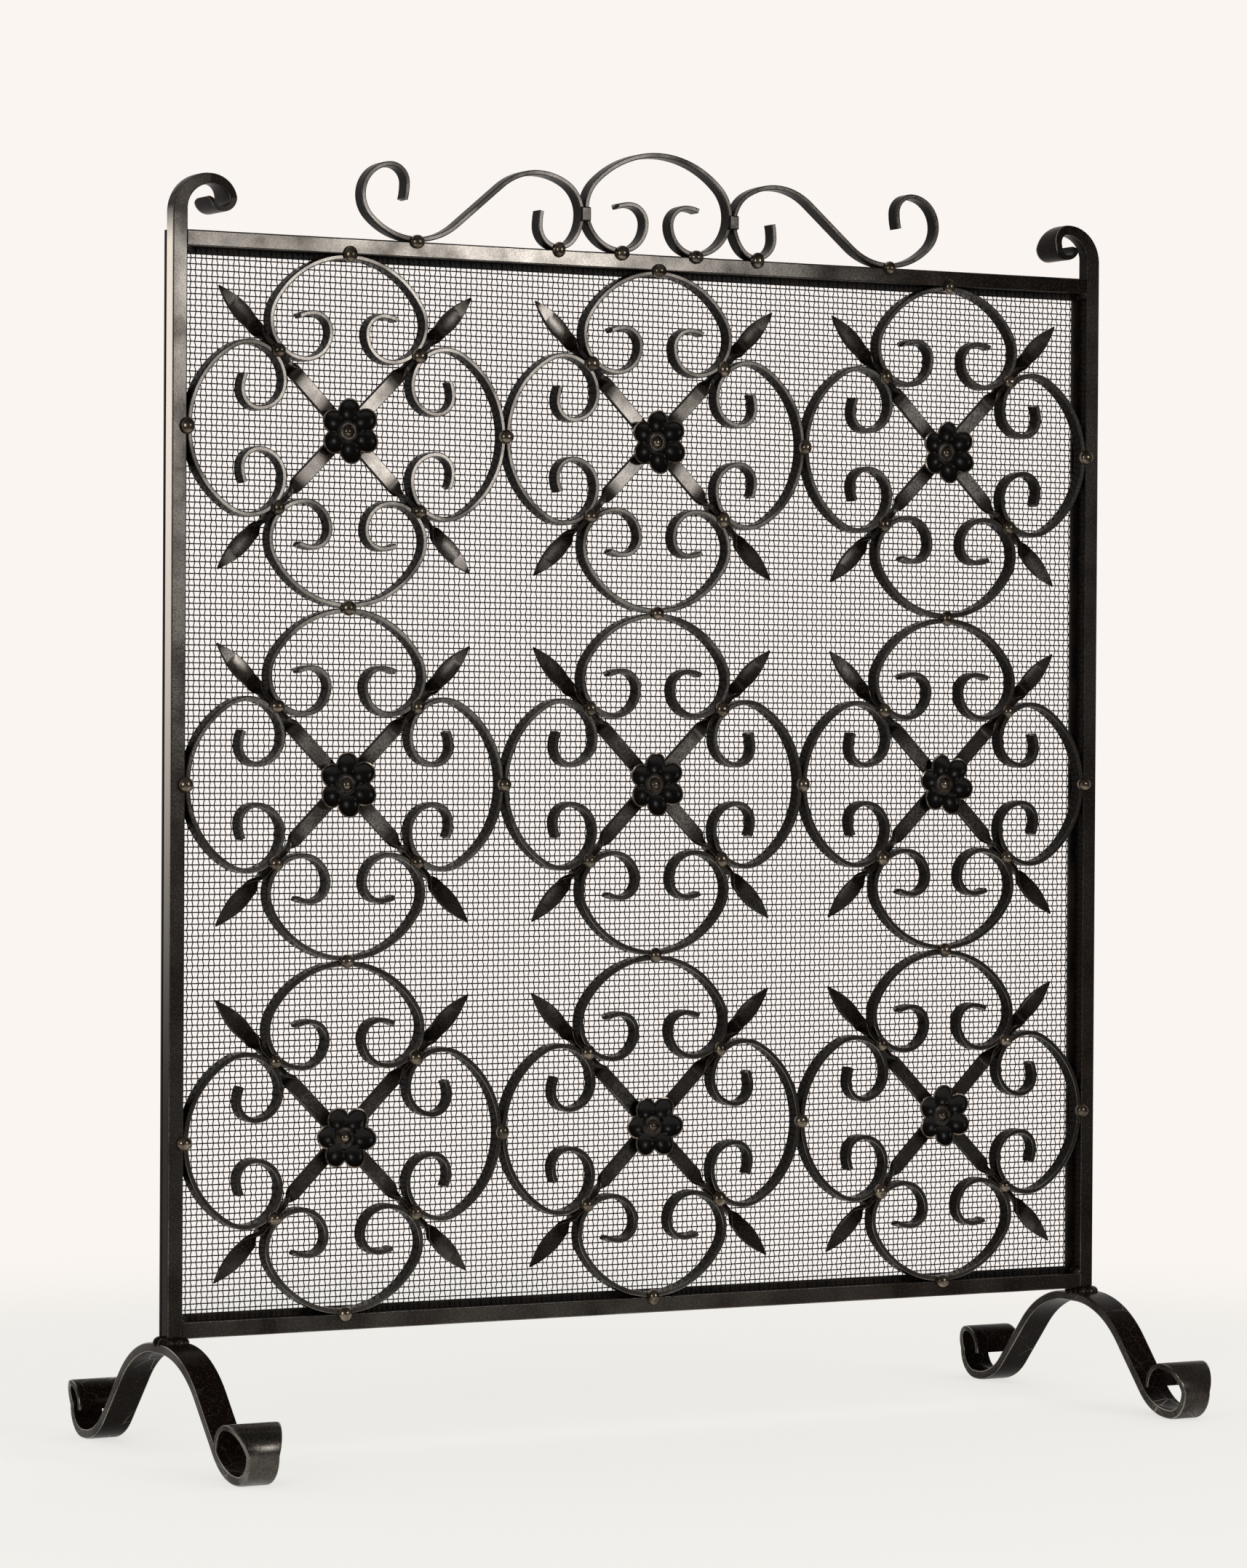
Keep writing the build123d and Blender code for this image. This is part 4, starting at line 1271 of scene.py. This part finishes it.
class FIRESCREEN_OT_mesh(bpy.types.Operator):
    """Weave the wire mesh and finish the strips that hold it"""

    bl_idname = "fire_screen.mesh"
    bl_label = "Add Wire Mesh"

    def execute(self, context):
        sizes = context.scene.fire_screen.mesh
        wire = blackened_wire("Blackened drawn wire", browning=0.4)
        depth = (MESH_LOW.y + MESH_HIGH.y) / 2
        half = abs(STRIP_INSIDE) + sizes.tuck
        low = OPENING_BOTTOM - (half - abs(OPENING_LEFT))
        high = OPENING_TOP + (half - abs(OPENING_LEFT))
        count = round(2 * half / sizes.pitch)
        pitch = 2 * half / count
        rows = round((high - low) / sizes.pitch)
        rise = (high - low) / rows
        strand = self.crimp_strand(sizes, (0, depth + sizes.crimp, low), rise, rows)
        flip = Matrix.Translation((0, 2 * depth, 0)) @ Matrix.Scale(-1, 4, (0, 1, 0))
        strands = copy_of(strand)
        set_in(strands, strand, Matrix.Translation((pitch, 0, 0)) @ flip)
        strand.free()
        # The uprights are shared between two pieces, to keep each one small
        pairs = (count + 1) // 4
        for name, first in (("left", -half), ("right", -half + 2 * pairs * pitch)):
            cloth = copy_of(strands, Matrix.Translation((first, 0, 0)))
            self.repeat(cloth, (2 * pitch, 0, 0), pairs - 1)
            add_piece(f"upright_wires_{name}", cloth, wire, "wire_mesh")
        strands.free()
        level = bmesh.new()
        bmesh.ops.create_cone(
            level,
            cap_ends=True,
            segments=WIRE_SIDES,
            radius1=sizes.wire_radius,
            radius2=sizes.wire_radius,
            depth=2 * half,
        )
        lay = Matrix.Translation((0, depth, low)) @ Matrix.Rotation(QUARTER, 4, "Y")
        bmesh.ops.transform(level, matrix=lay, verts=level.verts[:])
        self.repeat(level, (0, 0, rise), rows)
        add_piece("level_wires", level, wire, "wire_mesh")
        strip = blackened_wire("Blackened strip iron", browning=0.5)
        strip_edge = 0.0004
        for side in ("left", "right", "top", "bottom"):
            corner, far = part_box(f"mesh_strip_{side}")
            band = rounded_block((corner + far) / 2, far - corner, strip_edge)
            add_piece(f"mesh_band_{side}", band, strip, f"mesh_strip_{side}")
        return {"FINISHED"}

    def crimp_strand(self, sizes, start, rise, rows):
        """An upright wire that swings over and under the level wires."""
        strand = bmesh.new()
        bmesh.ops.create_circle(strand, cap_ends=False, segments=WIRE_SIDES, radius=sizes.wire_radius)
        bmesh.ops.translate(strand, vec=start, verts=strand.verts[:])
        rim = strand.edges[:]
        for step in range(1, rows + 1):
            made = bmesh.ops.extrude_edge_only(strand, edges=rim)["geom"]
            rim = pick(made, bmesh.types.BMEdge)
            swing = 2 * sizes.crimp * (-1 if step % 2 else 1)
            bmesh.ops.translate(strand, vec=(0, swing, rise), verts=pick(made, bmesh.types.BMVert))
        bmesh.ops.holes_fill(strand, edges=strand.edges[:], sides=0)
        return strand

    def repeat(self, bm, step, copies):
        """Set copies of a shape in a row, each a step on from the last."""
        bmesh.ops.spin(
            bm,
            geom=[*bm.verts, *bm.edges, *bm.faces],
            axis=(0, 0, 1),
            dvec=step,
            angle=0,
            steps=copies,
            use_duplicate=True,
        )


class FIRESCREEN_OT_stage(bpy.types.Operator):
    """Set up the pale floor, the soft lamps and the camera"""

    bl_idname = "fire_screen.stage"
    bl_label = "Add Studio"

    def execute(self, context):
        scene = context.scene
        tone = scene.fire_screen.colours
        scene.view_settings.view_transform = "Standard"
        self.add_floor(scene, tone)
        self.add_backdrop(scene, tone)
        self.add_lamp(scene, "front lamp", place=(0.98, -2.3, 0.92), size=0.5, power=10)
        self.add_lamp(scene, "side lamp", place=(-2.2, -1.6, 0.75), size=0.9, power=12)
        self.add_camera(scene)
        return {"FINISHED"}

    def add_floor(self, scene, tone):
        """A pale floor that fades into the backdrop with distance."""
        bm = bmesh.new()
        bmesh.ops.create_circle(bm, cap_ends=True, segments=64, radius=4.0)
        mesh = bpy.data.meshes.new("studio_floor")
        bm.to_mesh(mesh)
        bm.free()
        material, tree = new_material("Pale studio paper")
        spot = add_node(tree, "TexCoord")["Object"]
        far = add_node(tree, "VectorMath", {0: spot}, operation="LENGTH")["Value"]
        fade = add_node(
            tree,
            "MapRange",
            {"Value": far, "From Min": 0.6, "From Max": 1.2},
            interpolation_type="SMOOTHSTEP",
        )["Result"]
        paper = add_node(tree, "BsdfDiffuse", {"Color": tone.floor[:]})["BSDF"]
        glow = add_node(tree, "Emission", {"Color": tone.floor[:], "Strength": 1.0})["Emission"]
        # Where it is looked at, the paper is mostly its own white, and keeps part of the shadow
        white = add_node(tree, "Math", {0: self.seen(tree), 1: 0.7}, operation="MULTIPLY")["Value"]
        paper = add_node(tree, "MixShader", {0: white, 1: paper, 2: glow})["Shader"]
        clear = add_node(tree, "BsdfTransparent")["BSDF"]
        shader = add_node(tree, "MixShader", {0: fade, 1: paper, 2: clear})["Shader"]
        add_node(tree, "OutputMaterial", {"Surface": shader})
        mesh.materials.append(material)
        floor = bpy.data.objects.new("studio_floor", mesh)
        scene.collection.objects.link(floor)

    def add_backdrop(self, scene, tone):
        """Soft light all round: pale to look at from every side, with a dim room for the fronts to mirror."""
        world = bpy.data.worlds.new("Studio surround")
        world.use_nodes = True
        tree = world.node_tree
        tree.nodes.clear()
        way = add_node(tree, "TexCoord")["Generated"]
        behind = add_node(tree, "SeparateXYZ", {"Vector": way})["Y"]
        pale = add_node(
            tree, "MapRange", {"Value": behind, "From Min": 0.0, "From Max": 0.5, "To Min": 0.05}
        )["Result"]
        straight = add_node(tree, "LightPath")["Is Camera Ray"]
        pale = add_node(tree, "Math", {0: pale, 1: straight}, operation="MAXIMUM")["Value"]
        shown = add_node(tree, "Background", {"Color": tone.backdrop[:], "Strength": pale})["Background"]
        ambient = add_node(tree, "Background", {"Color": tone.backdrop[:], "Strength": 0.6})["Background"]
        shader = add_node(tree, "MixShader", {0: self.seen(tree), 1: ambient, 2: shown})["Shader"]
        add_node(tree, "OutputWorld", {"Surface": shader})
        scene.world = world

    def seen(self, tree):
        """Whether the studio is looked at, straight or in a reflection, and doesn't light something."""
        path = add_node(tree, "LightPath")
        looked = add_node(
            tree, "Math", {0: path["Is Camera Ray"], 1: path["Is Glossy Ray"]}, operation="MAXIMUM"
        )["Value"]
        return add_node(
            tree, "Math", {0: looked, 1: path["Is Transmission Ray"]}, operation="MAXIMUM"
        )["Value"]

    def add_lamp(self, scene, name, place, size, power):
        """A large soft lamp that points at the middle of the screen."""
        middle = Vector((0, 0, 0.4))
        data = bpy.data.lights.new(name, "AREA")
        data.size = size
        data.energy = power
        lamp = bpy.data.objects.new(name, data)
        lamp.location = place
        lamp.rotation_euler = (middle - lamp.location).to_track_quat("-Z", "Y").to_euler()
        scene.collection.objects.link(lamp)

    def add_camera(self, scene):
        """The camera of the photograph, to the left of the screen and level with its middle."""
        heading = math.radians(-28.86)
        tilt = math.radians(89.31)
        roll = math.radians(0.34)
        data = bpy.data.cameras.new("view")
        data.sensor_fit = "VERTICAL"
        data.sensor_height = 36.0
        data.lens = 119.04
        camera = bpy.data.objects.new("view", data)
        camera.location = (-1.613, -2.889, 0.451)
        aim = Matrix.Rotation(heading, 3, "Z") @ Matrix.Rotation(tilt, 3, "X")
        camera.rotation_euler = (aim.to_quaternion() @ Quaternion((0, 0, 1), roll)).to_euler()
        scene.collection.objects.link(camera)
        scene.camera = camera


class FIRESCREEN_PT_panel(bpy.types.Panel):
    """The pieces of the fire screen, in the order they are made"""

    bl_idname = "FIRESCREEN_PT_panel"
    bl_label = "Fire Screen"
    bl_space_type = "VIEW_3D"
    bl_region_type = "UI"
    bl_category = "Fire Screen"

    def draw(self, context):
        settings = context.scene.fire_screen
        for operator in OPERATORS:
            self.layout.operator(operator.bl_idname)
        for name in ("frame", "rosette", "crest", "mesh", "colours"):
            group = getattr(settings, name)
            box = self.layout.box()
            box.label(text=name.capitalize())
            for prop in group.bl_rna.properties:
                if prop.identifier not in ("rna_type", "name"):
                    box.prop(group, prop.identifier)


OPERATORS = (
    FIRESCREEN_OT_stage,
    FIRESCREEN_OT_frame,
    FIRESCREEN_OT_feet,
    FIRESCREEN_OT_scrolls,
    FIRESCREEN_OT_cross_bars,
    FIRESCREEN_OT_flowers,
    FIRESCREEN_OT_beads,
    FIRESCREEN_OT_crest,
    FIRESCREEN_OT_mesh,
)

CLASSES = (
    FireScreenFrameSizes,
    FireScreenRosetteSizes,
    FireScreenCrestSizes,
    FireScreenMeshSizes,
    FireScreenColours,
    FireScreenSettings,
    *OPERATORS,
    FIRESCREEN_PT_panel,
)


def register():
    for kind in CLASSES:
        bpy.utils.register_class(kind)
    bpy.types.Scene.fire_screen = bpy.props.PointerProperty(type=FireScreenSettings)


def unregister():
    del bpy.types.Scene.fire_screen
    for kind in reversed(CLASSES):
        bpy.utils.unregister_class(kind)


def main():
    register()
    bpy.ops.fire_screen.stage()
    bpy.ops.fire_screen.frame()
    bpy.ops.fire_screen.feet()
    bpy.ops.fire_screen.scrolls()
    bpy.ops.fire_screen.cross_bars()
    bpy.ops.fire_screen.flowers()
    bpy.ops.fire_screen.beads()
    bpy.ops.fire_screen.crest()
    bpy.ops.fire_screen.mesh()


if __name__ == "__main__":
    main()
